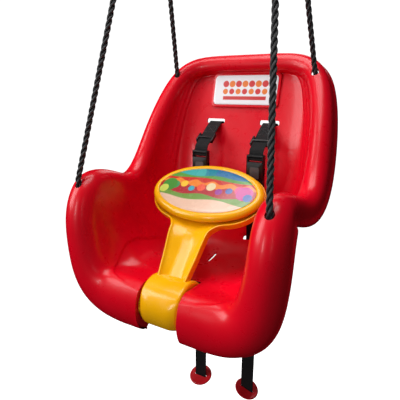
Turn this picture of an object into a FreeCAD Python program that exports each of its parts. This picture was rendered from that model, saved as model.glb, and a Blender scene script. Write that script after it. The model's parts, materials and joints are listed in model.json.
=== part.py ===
import FreeCAD, Part
import math
import os

from FreeCAD import Vector

# Toddler bucket swing.  Millimetres, +Z up, the child faces -Y, +X is the right side of the seat
# seen from the front.  The origin is on the swing axis, midway between the two hanger rings.
# All the seat's parts are drawn about the seat datum, midway between the two front rope holes,
# and moved into the swing's frame when they are written.

# ---- driving dimensions ---------------------------------------------------------------------
AXIS_BACK = 149.2            # swing axis behind the seat datum
AXIS_UP = 523.0              # swing axis above the seat datum
RING_SPREAD = 104.0          # half the distance between the hanger rings
RING_WIRE = 8.0              # steel wire diameter of a hanger ring
RING_RADIUS = 22.0           # ring centre to wire centre

WALL = 3.6                   # moulded wall of the bucket
ROPE = 9.5                   # rope diameter
ROPE_HOLE = 13.5             # drilled hole for the rope
FRONT_HOLE = Vector(165.0, -0.5, -1.0)
REAR_HOLE = Vector(141.5, 271.0, 175.0)

PIVOT_Y = 22.0               # T-bar hinge axis behind the datum
PIVOT_Z = -188.0             # T-bar hinge axis below the datum
KNUCKLE_RADIUS = 44.0
KNUCKLE_HALF = 36.0          # half width of the hinge knuckle
NOTCH_HALF = 38.0            # half width of the notch in the front lip
PIN_RADIUS = 4.0
PIN_HALF = 52.0
RUN_FIT = 0.05               # radial clearance of the turning fit

STRAP = 28.0                 # webbing width
WEB = 1.6                    # webbing thickness
STRAP_X = 58.0               # harness centre lines, left and right
STRAP_Y = 223.0              # hip strap plane
DISC_RADIUS = 26.0
DISC_THICK = 3.0
HIP_DISC_Z = {-1: -500.0, 1: -488.0}   # the left strap hangs a little lower
FOLD_BELOW = 7.5             # from a hip strap's disc down to its sewn fold
SHOULDER_SLOT_Z = 83.0
BUCKLE_TOP = 30.0

# Half of the seat's rim, from the middle of the front lip round the right arm to the middle of
# the top edge.  Each row: rim crest x, y, z; half width of the rolled rim; its bulge; skirt beyond
# the roll; upward lean of the rim's facing; foot of the side wall: half width and place along the
# floor; place along the floor where that section starts on the centre line.
RIM = (
    (0, -24, -194, 45, 26, 2, 0.0, 0, 26, 36),
    (60, -24, -193, 45, 26, 2, 0.0, 45, 27, 39),
    (112, -25, -187, 43, 26, 4, 0.05, 86, 32, 45),
    (146, -27, -158, 36, 27, 6, 0.2, 106, 40, 51),
    (160, -27, -105, 31, 28, 8, 0.5, 114, 50, 59),
    (165, -22, -48, 28, 27, 12, 0.8, 118, 62, 68),
    (165, -1, -4, 26, 25, 18, 1.0, 121, 80, 82),
    (166, 34, 14, 23, 22, 20, 1.0, 123, 106, 106),
    (170, 84, 4, 21, 20, 20, 1.0, 126, 142, 142),
    (175, 132, -10, 20, 19, 21, 1.0, 128, 208, 205),
    (176, 170, 12, 20, 19, 27, 1.0, 130, 298, 290),
    (172, 203, 66, 19, 19, 34, 0.9, 131, 388, 374),
    (162, 237, 124, 19, 19, 35, 0.7, 128, 466, 440),
    (143, 268, 173, 19, 19, 34, 0.5, 114, 526, 488),
    (110, 287, 195, 19, 18, 30, 0.35, 86, 552, 516),
    (58, 293, 198, 19, 18, 27, 0.25, 44, 561, 530),
    (0, 294, 198, 19, 18, 27, 0.25, 0, 562, 536),
)
# Seat pan and back along the centre line (y, z), measured along its length from FLOOR_START.
FLOOR = ((-60, -143), (0, -149), (60, -154), (120, -160), (170, -163), (205, -154), (228, -130),
         (243, -95), (258, -35), (272, 30), (286, 88), (301, 150), (316, 212))
FLOOR_START = -60.0
SKIRT_FLARE = 0.06
SECTION_STEPS = 14           # points from the centre line to the rolled rim
ROLL_STEPS = 8
SKIRT_STEPS = 2
SECTIONS_PER_ROW = 2.5       # sections between two rows of RIM

CHEEK_PLACE = 0.63           # section of the rim that lies at the notch's edge
CHEEK_THICK = 4.0
BUSH_RADIUS = 7.0
NOTCH_GAP = 2.0

LABEL_AT = 524.0             # middle of the label along the floor line
LABEL_WIDTH = 134.0
LABEL_HEIGHT = 58.0
LABEL_THICK = 0.6
PAD_PROUD = 2.2

TRAY_BASE = (143.9, -36.0)   # middle of the tray's underside, y and z
TRAY_LEAN = 36.0             # slope of the tray above level, in degrees
TRAY_HALF_WIDTH = 107.0
TRAY_HALF_DEPTH = 62.0
TRAY_THICK = 16.0
SCREW_RADIUS = 1.9
SCREW_BITE = 12.0            # length of a tray screw inside the tray
PADDLE_LEAN = 43.0
PADDLE_EDGE = 4.0
PADDLE_DEPTH = 11.0
PADDLE_STEPS = 16
PADDLE_LINE = ((14, -160), (24, -146), (55, -108), (80, -79), (92, -72.5), (103.5, -65.4),
               (143.9, -36), (197, 2.6))
# Right half of the T-bar from the front: half width, and place along its length from the tray.
PADDLE_OUTLINE = ((24, -185), (37, -75), (45, -63), (66, -54), (93, -36), (108, 0), (94, 34),
                  (56, 56), (0, 64))

SLOT_WIDTH = 40.0
SHOULDER_SLOT_HALF = 4.6
HIP_SLOT_HALF = 4.0
WEB_SLOT = WEB + 0.8         # slot for the webbing in a buckle's end
DISC_SLOT = 6.0
DISC_SLOT_HALF = STRAP / 2 + 2.0
HIP_DISC_TILT = {-1: (19.0, 0.0), 1: (6.0, 18.0)}
SHOULDER_DISC = (305.5, 52.0)
SHOULDER_DISC_TILT = 30.0
SHOULDER_LINE = ((305.5, 44.5), (305.5, 64), (304, 73), (299.5, 79.5), (292, 82.4), (284, 80.6), (226, 40))
ADJUSTER_UP = 22.0
SOCKET_LENGTH = 46.0
MOUTH_DEPTH = 27.0
BAR_INSET = 8.0
BAR_Y = 4.0
BAR_Z = 3.0
LOOP_GAP = 0.3

ROPE_CLEAR = 0.5
FRONT_KNOT = Vector(0.0, 8.0, -20.0)     # from the front rope hole to its stopper knot
REAR_KNOT = Vector(3.0, 9.0, -17.0)      # from the rear rope hole to its stopper knot
KNOT_RADIUS = 10.5
KNOT_HEIGHT = 19.0
KNOT_FLAT = 1.2              # taken off the knot's top, where the rope comes out
KNOT_TAIL = 13.0
BEND_SHARE = 0.45            # share of the short run that a rope's bend takes up

LEFT, RIGHT = -1, 1
SIDES = (("left", LEFT), ("right", RIGHT))


# ---- small geometry helpers -----------------------------------------------------------------
def smooth_curve(places, rows):
    """A natural cubic spline through rows of numbers at increasing places, as a function."""
    count = len(places)
    width = len(rows[0])
    gaps = [places[i + 1] - places[i] for i in range(count - 1)]
    bends = [[0.0] * count for _ in range(width)]
    for column in range(width):
        scale = [0.0] * count
        shift = [0.0] * count
        for i in range(1, count - 1):
            rise = (rows[i + 1][column] - rows[i][column]) / gaps[i]
            rise -= (rows[i][column] - rows[i - 1][column]) / gaps[i - 1]
            middle = 2.0 * (gaps[i - 1] + gaps[i]) - gaps[i - 1] * scale[i - 1]
            scale[i] = gaps[i] / middle
            shift[i] = (6.0 * rise - gaps[i - 1] * shift[i - 1]) / middle
        for i in range(count - 2, 0, -1):
            bends[column][i] = shift[i] - scale[i] * bends[column][i + 1]

    def value(place):
        i = 0
        while i < count - 2 and place > places[i + 1]:
            i += 1
        gap = gaps[i]
        ahead = places[i + 1] - place
        behind = place - places[i]
        result = []
        for column in range(width):
            low, high = bends[column][i], bends[column][i + 1]
            number = (low * ahead ** 3 + high * behind ** 3) / (6.0 * gap)
            number += (rows[i][column] / gap - low * gap / 6.0) * ahead
            number += (rows[i + 1][column] / gap - high * gap / 6.0) * behind
            result.append(number)
        return result

    return value


def bezier(points, share):
    """The point of a Bezier curve at a share of its way."""
    while len(points) > 1:
        points = [a * (1.0 - share) + b * share for a, b in zip(points, points[1:])]
    return points[0]


def plate_yz(outline, x_low, x_high):
    """A solid from an outline of (y, z) points, between two x planes."""
    corners = [Vector(x_low, y, z) for y, z in outline]
    face = Part.Face(Part.makePolygon(corners + [corners[0]]))
    return face.extrude(Vector(x_high - x_low, 0, 0))


def box(x_low, x_high, y_low, y_high, z_low, z_high):
    return Part.makeBox(x_high - x_low, y_high - y_low, z_high - z_low, Vector(x_low, y_low, z_low))


def rod(start, end, radius):
    way = end - start
    return Part.makeCylinder(radius, way.Length, start, way)


def mirrored(shape, side):
    """The right-hand shape itself, or its mirror image for the left side."""
    if side == RIGHT:
        return shape
    return shape.mirror(Vector(0, 0, 0), Vector(1, 0, 0))


# ---- the bucket -----------------------------------------------------------------------------
def floor_line():
    lengths = [FLOOR_START]
    for (y0, z0), (y1, z1) in zip(FLOOR, FLOOR[1:]):
        lengths.append(lengths[-1] + math.hypot(y1 - y0, z1 - z0))
    return smooth_curve(lengths, FLOOR)


def rim_line():
    """The rim rows as one smooth function, with the far half mirrored so that it ends square."""
    def other_side(row):
        return (-row[0],) + row[1:7] + (-row[7],) + row[8:]

    before = [other_side(row) for row in RIM[3:0:-1]]
    after = [other_side(row) for row in RIM[-2:-5:-1]]
    rows = before + list(RIM) + after
    return smooth_curve([float(i - 3) for i in range(len(rows))], rows)


FLOOR_AT = floor_line()
RIM_AT = rim_line()


def section(place):
    """Points from the seat's centre line out over the rolled rim to the skirt's edge."""
    x, y, z, half, bulge, skirt, lean, foot_x, foot_at, start_at = RIM_AT(place)
    crest = Vector(x, y, z)
    step = 0.001
    along = Vector(*RIM_AT(place + step)[:3]) - Vector(*RIM_AT(place - step)[:3])
    along.normalize()
    facing = Vector(0, -1, lean)
    facing = facing - along * facing.dot(along)
    facing.normalize()
    outward = along.cross(facing)
    inner = crest - facing * bulge - outward * half
    start = Vector(0, *FLOOR_AT(start_at))
    foot = Vector(foot_x, *FLOOR_AT(foot_at))
    wall_top = inner - facing * min(0.3 * (inner - foot).Length, 26.0)
    guide = [start, start + (foot - start) * 0.75, foot, (foot + wall_top) * 0.5, wall_top, inner]
    points = [bezier(guide, i / SECTION_STEPS) for i in range(SECTION_STEPS + 1)]
    for i in range(1, ROLL_STEPS + 1):
        turn = math.pi * i / ROLL_STEPS
        points.append(crest - facing * bulge * (1.0 - math.sin(turn)) - outward * half * math.cos(turn))
    edge = points[-1]
    for i in range(1, SKIRT_STEPS + 1):
        points.append(edge + (outward * SKIRT_FLARE - facing) * (skirt * i / SKIRT_STEPS))
    return points


def seat_sheets():
    """The seat's face and the underside one wall below it, as two grids of points."""
    count = int((len(RIM) - 1) * SECTIONS_PER_ROW)
    face = [section((len(RIM) - 1) * i / count) for i in range(count + 1)]
    for point in face[0] + face[-1]:
        point.x = 0.0
    under = []
    for i, row in enumerate(face):
        line = []
        for j, point in enumerate(row):
            a = face[min(i + 1, count)][j] - face[max(i - 1, 0)][j]
            b = row[min(j + 1, len(row) - 1)] - row[max(j - 1, 0)]
            normal = a.cross(b)
            if j == 0:
                normal = Vector(1, 0, 0).cross(face[min(i + 2, count)][0] - face[max(i - 2, 0)][0])
                normal = normal * -1.0
            if i in (0, count):
                normal.x = 0.0
            normal.normalize()
            line.append(point + normal * WALL)
        under.append(line)
    return face, under


def sheet_face(grid):
    """A smooth face over a grid of control points, straight across a grid of only two lines."""
    degrees = (3, min(3, len(grid[0]) - 1))
    knots = []
    repeats = []
    for count, degree in zip((len(grid), len(grid[0])), degrees):
        spans = count - degree
        knots.append([float(i) for i in range(spans + 1)])
        repeats.append([degree + 1] + [1] * (spans - 1) + [degree + 1])
    surface = Part.BSplineSurface()
    surface.buildFromPolesMultsKnots(grid, repeats[0], repeats[1], knots[0], knots[1],
                                     False, False, degrees[0], degrees[1])
    return surface.toShape().Faces[0]


def bucket_body():
    """The thin wall of the bucket: face, underside and skirt edge, sewn left to right."""
    face, under = seat_sheets()
    edge = [[a[-1], b[-1]] for a, b in zip(face, under)]
    right = [sheet_face(grid) for grid in (face, under, edge)]
    faces = []
    for sheet in right:
        faces.extend([sheet] + mirrored(sheet, LEFT).Faces)
    shell = Part.makeShell(faces)
    shell.sewShape()
    body = Part.makeSolid(shell)
    if body.Volume < 0:
        body.reverse()
    return body


def pivot_disc(radius, x_low, x_high):
    """A round bar on the T-bar's hinge axis."""
    return Part.makeCylinder(radius, x_high - x_low, Vector(x_low, PIVOT_Y, PIVOT_Z), Vector(1, 0, 0))


def hinge_cheek():
    """The web inside the lip that carries the right end of the hinge pin."""
    pivot = Vector(0, PIVOT_Y, PIVOT_Z)
    outline = []
    for point in section(CHEEK_PLACE)[SECTION_STEPS - 1:SECTION_STEPS + ROLL_STEPS + 1]:
        inward = Vector(0, pivot.y - point.y, pivot.z - point.z)
        inward.normalize()
        outline.append((point.y + inward.y * WALL * 0.6, point.z + inward.z * WALL * 0.6))
    outline.append((PIVOT_Y + 18.0, PIVOT_Z - 22.0))
    outline.append((PIVOT_Y + 40.0, FLOOR_AT(PIVOT_Y + 40.0)[1] - WALL * 0.6))
    return plate_yz(outline, NOTCH_HALF, NOTCH_HALF + CHEEK_THICK)


def rope_direction(hole):
    """Unit vector up the rope from a right-hand rope hole to the hanger ring."""
    way = Vector(RING_SPREAD, AXIS_BACK, AXIS_UP) - hole
    way.normalize()
    return way


def label_field():
    """Middle of the label's place on the back, and the directions up the back and out of it."""
    middle = Vector(0, *FLOOR_AT(LABEL_AT))
    up = Vector(0, *FLOOR_AT(LABEL_AT + 1.0)) - middle
    up.normalize()
    return middle, up, Vector(1, 0, 0).cross(up)


def rounded_plate(width, height, thick, corner):
    """A rounded rectangle centred on the origin in X and Y, from z = 0 up."""
    plate = box(-width / 2, width / 2, -height / 2, height / 2, 0, thick)
    uprights = [e for e in plate.Edges if abs(e.tangentAt(e.FirstParameter).z) > 0.9]
    return plate.makeFillet(corner, uprights)


def placed(shape, origin, x_axis, y_axis):
    """A shape drawn at the origin, moved so that its X and Y point along two given axes."""
    z_axis = x_axis.cross(y_axis)
    spot = FreeCAD.Matrix(x_axis.x, y_axis.x, z_axis.x, origin.x,
                          x_axis.y, y_axis.y, z_axis.y, origin.y,
                          x_axis.z, y_axis.z, z_axis.z, origin.z, 0, 0, 0, 1)
    moved = shape.copy()
    moved.Placement = FreeCAD.Placement(spot).multiply(shape.Placement)
    return moved


def seat_shell():
    bucket = bucket_body()
    spot, up, front = label_field()
    pad = rounded_plate(LABEL_WIDTH + 10, LABEL_HEIGHT + 10, PAD_PROUD + 2.0, 9.0)
    bucket = bucket.fuse(placed(pad, spot - front * 2.0, Vector(1, 0, 0), up))
    notch = box(-NOTCH_HALF, NOTCH_HALF, -60, PIVOT_Y, PIVOT_Z - 70, PIVOT_Z + 70)
    notch = notch.fuse(pivot_disc(KNUCKLE_RADIUS + NOTCH_GAP, -NOTCH_HALF, NOTCH_HALF))
    bucket = bucket.cut(notch)
    cheek = hinge_cheek()
    bucket = bucket.fuse([cheek, mirrored(cheek, LEFT)])
    cuts = [pivot_disc(BUSH_RADIUS, -PIN_HALF, PIN_HALF)]
    cuts.append(box(-2.4, 2.4, 147, 182, -185, -140))
    for side in (LEFT, RIGHT):
        for hole, knot in ((FRONT_HOLE, FRONT_KNOT), (REAR_HOLE, REAR_KNOT)):
            up = rod(hole, hole + rope_direction(hole) * 20, ROPE_HOLE / 2)
            down = rod(hole, hole + knot * 0.9, ROPE_HOLE / 2)
            cuts.append(mirrored(up.fuse([down, Part.makeSphere(ROPE_HOLE / 2, hole)]), side))
        x = side * STRAP_X
        cuts.append(box(x - SLOT_WIDTH / 2, x + SLOT_WIDTH / 2, 262, 312,
                        SHOULDER_SLOT_Z - SHOULDER_SLOT_HALF, SHOULDER_SLOT_Z + SHOULDER_SLOT_HALF))
        cuts.append(box(x - SLOT_WIDTH / 2, x + SLOT_WIDTH / 2, STRAP_Y - HIP_SLOT_HALF,
                        STRAP_Y + HIP_SLOT_HALF, -190, -110))
    return bucket.cut(cuts)


def back_label():
    spot, up, front = label_field()
    plate = rounded_plate(LABEL_WIDTH, LABEL_HEIGHT, LABEL_THICK, 7.0)
    return placed(plate, spot + front * PAD_PROUD, Vector(1, 0, 0), up)


# ---- hinge of the T-bar ---------------------------------------------------------------------
def hinge_pin():
    return pivot_disc(PIN_RADIUS, -PIN_HALF, PIN_HALF)


def hinge_bush(side):
    """A flanged bush pressed into the right cheek from the outside."""
    inner = NOTCH_HALF
    bush = pivot_disc(BUSH_RADIUS, inner, inner + CHEEK_THICK)
    bush = bush.fuse(pivot_disc(BUSH_RADIUS + 3, inner + CHEEK_THICK, inner + CHEEK_THICK + 2))
    return mirrored(bush.cut(pivot_disc(PIN_RADIUS, inner, inner + CHEEK_THICK + 2)), side)


def pin_cap(side):
    """The push-on cap over the right end of the hinge pin."""
    start = PIN_HALF - 5
    cap = pivot_disc(PIN_RADIUS + 3, start, PIN_HALF + 2)
    return mirrored(cap.cut(pivot_disc(PIN_RADIUS, start, PIN_HALF)), side)


def hinge_knuckle():
    """The hollow barrel in the lip's notch that turns on the hinge pin."""
    barrel = pivot_disc(KNUCKLE_RADIUS, -KNUCKLE_HALF, KNUCKLE_HALF)
    rims = [e for e in barrel.Edges if e.Closed]
    barrel = barrel.makeFillet(5.0, rims)
    barrel = barrel.cut(pivot_disc(KNUCKLE_RADIUS - 3.6, -KNUCKLE_HALF + 4, KNUCKLE_HALF - 4))
    below = box(-60, 60, PIVOT_Y - 60, PIVOT_Y + 60, PIVOT_Z - 80, PIVOT_Z - 22)
    behind = below.copy()
    behind.rotate(Vector(0, PIVOT_Y, PIVOT_Z), Vector(1, 0, 0), 60)
    barrel = barrel.cut([below, behind])
    hub = pivot_disc(PIN_RADIUS + 5, -KNUCKLE_HALF, KNUCKLE_HALF)
    web = box(-2, 2, PIVOT_Y - 2, PIVOT_Y + 2, PIVOT_Z, PIVOT_Z + KNUCKLE_RADIUS - 2)
    barrel = barrel.fuse([hub, web])
    return barrel.cut(pivot_disc(PIN_RADIUS + RUN_FIT, -KNUCKLE_HALF, KNUCKLE_HALF))


# ---- the T-bar ------------------------------------------------------------------------------
def paddle_profile(height):
    """The front of the T-bar seen from the side, shifted forward by a height."""
    spine = [Vector(0, y, z) for y, z in PADDLE_LINE]
    curve = Part.BSplineCurve()
    curve.interpolate(spine)
    points = []
    for i in range(PADDLE_STEPS + 1):
        place = curve.FirstParameter + (curve.LastParameter - curve.FirstParameter) * i / PADDLE_STEPS
        along = curve.tangent(place)[0]
        front = Vector(0, -along.z, along.y)
        points.append(curve.value(place) + front * height)
    return points


def ribbon(low, high):
    """A slab that follows the T-bar's bend, between two heights above its front."""
    width = TRAY_HALF_WIDTH + 10.0
    curves = []
    for points in (paddle_profile(low), paddle_profile(high)):
        curve = Part.BSplineCurve()
        curve.interpolate([p + Vector(-width, 0, 0) for p in points])
        curves.append(curve)
    ends = [Part.makeLine(curves[0].StartPoint, curves[1].StartPoint),
            Part.makeLine(curves[0].EndPoint, curves[1].EndPoint)]
    wire = Part.Wire(Part.__sortEdges__([curves[0].toShape(), ends[1], curves[1].toShape(), ends[0]]))
    return Part.Face(wire).extrude(Vector(2 * width, 0, 0))


def paddle_prism(inset):
    """The T-bar's outline from the front, drawn out through its thickness."""
    right = [Vector(x - inset, s - (inset if s > 0 else 0), 0) for x, s in PADDLE_OUTLINE[1:-1]]
    right.append(Vector(0, PADDLE_OUTLINE[-1][1] - inset, 0))
    left = [Vector(-p.x, p.y, 0) for p in right[-2::-1]]
    curve = Part.BSplineCurve()
    curve.interpolate(right + left)
    foot = Vector(PADDLE_OUTLINE[0][0] - inset, PADDLE_OUTLINE[0][1], 0)
    foot_left = Vector(-foot.x, foot.y, 0)
    edges = [Part.makeLine(foot, right[0]), curve.toShape(), Part.makeLine(left[-1], foot_left),
             Part.makeLine(foot_left, foot)]
    face = Part.Face(Part.Wire(edges))
    prism = face.extrude(Vector(0, 0, 120))
    prism.translate(Vector(0, 0, -60))
    lean = math.radians(PADDLE_LEAN)
    up = Vector(0, math.cos(lean), math.sin(lean))
    return placed(prism, Vector(0, *TRAY_BASE), Vector(1, 0, 0), up)


def tray_axes():
    lean = math.radians(TRAY_LEAN)
    return Vector(1, 0, 0), Vector(0, math.cos(lean), math.sin(lean))


def tbar_tray():
    """The thick oval tray on the T-bar's upper end, with bores for its screws."""
    rim = Part.Arc(Vector(TRAY_HALF_WIDTH - 9, 0, 0), Vector(TRAY_HALF_WIDTH, 0, TRAY_THICK * 0.45),
                   Vector(TRAY_HALF_WIDTH - 11, 0, TRAY_THICK)).toShape()
    centre_low, centre_high = Vector(0, 0, 0), Vector(0, 0, TRAY_THICK)
    wire = Part.Wire([Part.makeLine(centre_low, rim.Vertexes[0].Point), rim,
                      Part.makeLine(rim.Vertexes[-1].Point, centre_high),
                      Part.makeLine(centre_high, centre_low)])
    round_tray = Part.Face(wire).revolve(Vector(0, 0, 0), Vector(0, 0, 1), 360)
    squeeze = FreeCAD.Matrix()
    squeeze.scale(Vector(1, TRAY_HALF_DEPTH / TRAY_HALF_WIDTH, 1))
    oval = round_tray.transformGeometry(squeeze)
    bores = [Part.makeCylinder(SCREW_RADIUS, SCREW_BITE, spot) for spot in screw_spots()]
    return placed(oval.cut(bores), Vector(0, *TRAY_BASE), *tray_axes())


def tray_label():
    ellipse = Part.Ellipse(Vector(0, 0, 0), TRAY_HALF_WIDTH - 14, TRAY_HALF_DEPTH - 12)
    face = Part.Face(Part.Wire([ellipse.toShape()]))
    plate = face.extrude(Vector(0, 0, LABEL_THICK))
    plate.translate(Vector(0, 0, TRAY_THICK))
    return placed(plate, Vector(0, *TRAY_BASE), *tray_axes())


def screw_spots():
    """Centres of the tray screws on the tray's base, drawn at the origin."""
    return [Vector(x, s, 0) for x in (-62.0, 62.0) for s in (-16.0, 16.0)]


def tbar_frame():
    """The post and the oval plate behind the tray, with a raised edge all round."""
    outline = paddle_prism(0.0)
    edge = outline.cut(paddle_prism(PADDLE_EDGE)).common(ribbon(-PADDLE_DEPTH, 2.5))
    plate = outline.common(ribbon(-7.0, -3.5))
    frame = edge.fuse(plate)
    barrel = pivot_disc(KNUCKLE_RADIUS, -KNUCKLE_HALF, KNUCKLE_HALF)
    holes = []
    for spot in screw_spots():
        hole = Part.makeCylinder(SCREW_RADIUS + 0.1, 40, spot + Vector(0, 0, -30))
        holes.append(placed(hole, Vector(0, *TRAY_BASE), *tray_axes()))
    return frame.cut([barrel, tbar_tray()] + holes)


def tbar_screws():
    """Pan-head screws from behind, through the plate and up into the tray."""
    screws = []
    for spot in screw_spots():
        shank = Part.makeCylinder(SCREW_RADIUS, SCREW_BITE + 8, spot + Vector(0, 0, -8))
        head = Part.makeCylinder(4.0, 2.6, spot + Vector(0, 0, -10.6))
        screws.append(placed(head.fuse(shank), Vector(0, *TRAY_BASE), *tray_axes()))
    return Part.makeCompound(screws)


# ---- harness --------------------------------------------------------------------------------
def ribbon_strap(line, x_centre):
    """Webbing along a line of (y, z) points, with mitred bends, centred on the line."""
    points = [Vector(0, y, z) for y, z in line]
    front, back = [], []
    for i, point in enumerate(points):
        before = points[max(i - 1, 0)]
        after = points[min(i + 1, len(points) - 1)]
        into = point - before if i else after - point
        out = after - point if i < len(points) - 1 else into
        into.normalize()
        out.normalize()
        way = into + out
        way.normalize()
        side = Vector(0, -way.z, way.y) * (WEB / 2 / way.dot(into))
        front.append(point + side)
        back.append(point - side)
    outline = [(p.y, p.z) for p in front + back[::-1]]
    return plate_yz(outline, x_centre - STRAP / 2, x_centre + STRAP / 2)


def strap_loop(y, z, x_centre):
    """The sewn loop of webbing round a buckle's bar, whose centre is at y, z."""
    outer = box(x_centre - STRAP / 2, x_centre + STRAP / 2, y - BAR_Y / 2 - WEB - LOOP_GAP,
                y + BAR_Y / 2 + WEB + LOOP_GAP, z - BAR_Z / 2 - WEB - LOOP_GAP, z + BAR_Z / 2 + WEB + LOOP_GAP)
    inner = box(x_centre - STRAP / 2, x_centre + STRAP / 2, y - BAR_Y / 2 - LOOP_GAP,
                y + BAR_Y / 2 + LOOP_GAP, z - BAR_Z / 2 - LOOP_GAP, z + BAR_Z / 2 + LOOP_GAP)
    return outer.cut(inner)


def sewn_fold(x, y, top):
    """The webbing's end, folded on itself and sewn so that it can't slip through its retainer."""
    return box(x - STRAP / 2, x + STRAP / 2, y - 5.0, y + 5.0, top - 6.0, top)


def shoulder_strap(side):
    x = side * STRAP_X
    loop_top = BUCKLE_TOP - BAR_INSET + BAR_Z / 2 + WEB / 2 + LOOP_GAP
    line = SHOULDER_LINE + ((STRAP_Y, loop_top + 8.0), (STRAP_Y, loop_top))
    strap = ribbon_strap(line, x)
    return strap.fuse([strap_loop(STRAP_Y, BUCKLE_TOP - BAR_INSET, x), sewn_fold(x, *SHOULDER_LINE[0])])


def strap_disc(tilt_x, tilt_y, centre):
    """A round retainer with a slot that the webbing is threaded through."""
    disc = Part.makeCylinder(DISC_RADIUS, DISC_THICK, Vector(0, 0, -DISC_THICK / 2))
    rims = [e for e in disc.Edges if e.Closed]
    disc = disc.makeFillet(1.0, rims)
    disc = disc.cut(box(-DISC_SLOT_HALF, DISC_SLOT_HALF, -DISC_SLOT / 2, DISC_SLOT / 2, -5, 5))
    disc.rotate(Vector(0, 0, 0), Vector(1, 0, 0), tilt_x)
    disc.rotate(Vector(0, 0, 0), Vector(0, 1, 0), tilt_y)
    disc.translate(centre)
    return disc


def shoulder_disc(side):
    """The retainer that hangs behind the back on the shoulder strap's end."""
    return strap_disc(SHOULDER_DISC_TILT, 0, Vector(side * STRAP_X, *SHOULDER_DISC))


def adjuster(side):
    """The ladder-shaped slide on the sloping run of the shoulder strap."""
    half = STRAP / 2 + 1.0
    bars = []
    for rail in (-1, 1):
        edge = rail * (half + 1.5)
        bars.append(box(edge - 1.5, edge + 1.5, -11, 11, -3.6, 3.6))
    for place in (-11, 8):
        bars.append(box(-half, half, place, place + 3, -3.6, -WEB / 2 - 0.4))
    bars.append(box(-half, half, -2, 2, WEB / 2 + 0.4, 3.6))
    body = bars[0].fuse(bars[1:])
    (y0, z0), (y1, z1) = SHOULDER_LINE[-2:]
    up = Vector(0, y0 - y1, z0 - z1)
    up.normalize()
    centre = Vector(side * STRAP_X, y1 + up.y * ADJUSTER_UP, z1 + up.z * ADJUSTER_UP)
    return placed(body, centre, Vector(1, 0, 0), up)


def buckle_socket(side):
    """The female half of the side-release buckle, open at the bottom."""
    x = side * STRAP_X
    low = BUCKLE_TOP - SOCKET_LENGTH
    body = box(x - 17, x + 17, STRAP_Y - 6, STRAP_Y + 6, low, BUCKLE_TOP)
    uprights = [e for e in body.Edges if abs(e.tangentAt(e.FirstParameter).z) > 0.9]
    body = body.makeFillet(2.5, uprights)
    web_window = box(x - 14.6, x + 14.6, STRAP_Y - 7, STRAP_Y + 7,
                     BUCKLE_TOP - BAR_INSET - 5, BUCKLE_TOP - BAR_INSET + 5)
    bar = box(x - 14.6, x + 14.6, STRAP_Y - BAR_Y / 2, STRAP_Y + BAR_Y / 2,
              BUCKLE_TOP - BAR_INSET - BAR_Z / 2, BUCKLE_TOP - BAR_INSET + BAR_Z / 2)
    web_slot = box(x - 14.6, x + 14.6, STRAP_Y - WEB_SLOT / 2, STRAP_Y + WEB_SLOT / 2,
                   BUCKLE_TOP - BAR_INSET, BUCKLE_TOP)
    mouth = box(x - 13.5, x + 13.5, STRAP_Y - 3.6, STRAP_Y + 3.6, low, low + MOUTH_DEPTH)
    windows = box(x - 18, x + 18, STRAP_Y - 3.2, STRAP_Y + 3.2, low + 8, low + 22)
    return body.cut([web_window, web_slot, mouth, windows]).fuse(bar)


def buckle_tongue(side):
    """The male half: a bar frame below, and two arms and a guide in the socket."""
    x = side * STRAP_X
    top = BUCKLE_TOP - SOCKET_LENGTH - 0.5
    low = top - 20
    frame = box(x - 17, x + 17, STRAP_Y - 5, STRAP_Y + 5, low, top)
    window = box(x - 14.6, x + 14.6, STRAP_Y - 6, STRAP_Y + 6, low + 3, low + 13)
    bar = box(x - 14.6, x + 14.6, STRAP_Y - BAR_Y / 2, STRAP_Y + BAR_Y / 2,
              low + 8 - BAR_Z / 2, low + 8 + BAR_Z / 2)
    arms = [box(x - 13, x - 9.5, STRAP_Y - 3, STRAP_Y + 3, top, top + MOUTH_DEPTH - 2),
            box(x + 9.5, x + 13, STRAP_Y - 3, STRAP_Y + 3, top, top + MOUTH_DEPTH - 2),
            box(x - 2, x + 2, STRAP_Y - 2.5, STRAP_Y + 2.5, top, top + MOUTH_DEPTH - 5)]
    web_slot = box(x - 14.6, x + 14.6, STRAP_Y - WEB_SLOT / 2, STRAP_Y + WEB_SLOT / 2, low, low + 8)
    return frame.cut([window, web_slot]).fuse([bar] + arms)


def hip_strap(side):
    """Webbing from the buckle's tongue straight down through the seat to its retainer."""
    x = side * STRAP_X
    bar_z = BUCKLE_TOP - SOCKET_LENGTH - 0.5 - 12
    loop_low = bar_z - BAR_Z / 2 - WEB - LOOP_GAP
    end = HIP_DISC_Z[side] - FOLD_BELOW
    run = box(x - STRAP / 2, x + STRAP / 2, STRAP_Y - WEB / 2, STRAP_Y + WEB / 2, end, loop_low + 0.4)
    return run.fuse([strap_loop(STRAP_Y, bar_z, x), sewn_fold(x, STRAP_Y, end)])


def hip_disc(side):
    tilt_x, tilt_y = HIP_DISC_TILT[side]
    return strap_disc(tilt_x, tilt_y, Vector(side * STRAP_X, STRAP_Y, HIP_DISC_Z[side]))


# ---- ropes and hanger rings -----------------------------------------------------------------
def hanger_ring(side):
    """A welded ring that hangs in the X plane, its lowest wire on the swing axis."""
    ring = Part.makeTorus(RING_RADIUS, RING_WIRE / 2, Vector(0, 0, 0), Vector(0, 1, 0))
    ring.translate(Vector(side * RING_SPREAD, AXIS_BACK, AXIS_UP + RING_RADIUS))
    return ring


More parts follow.
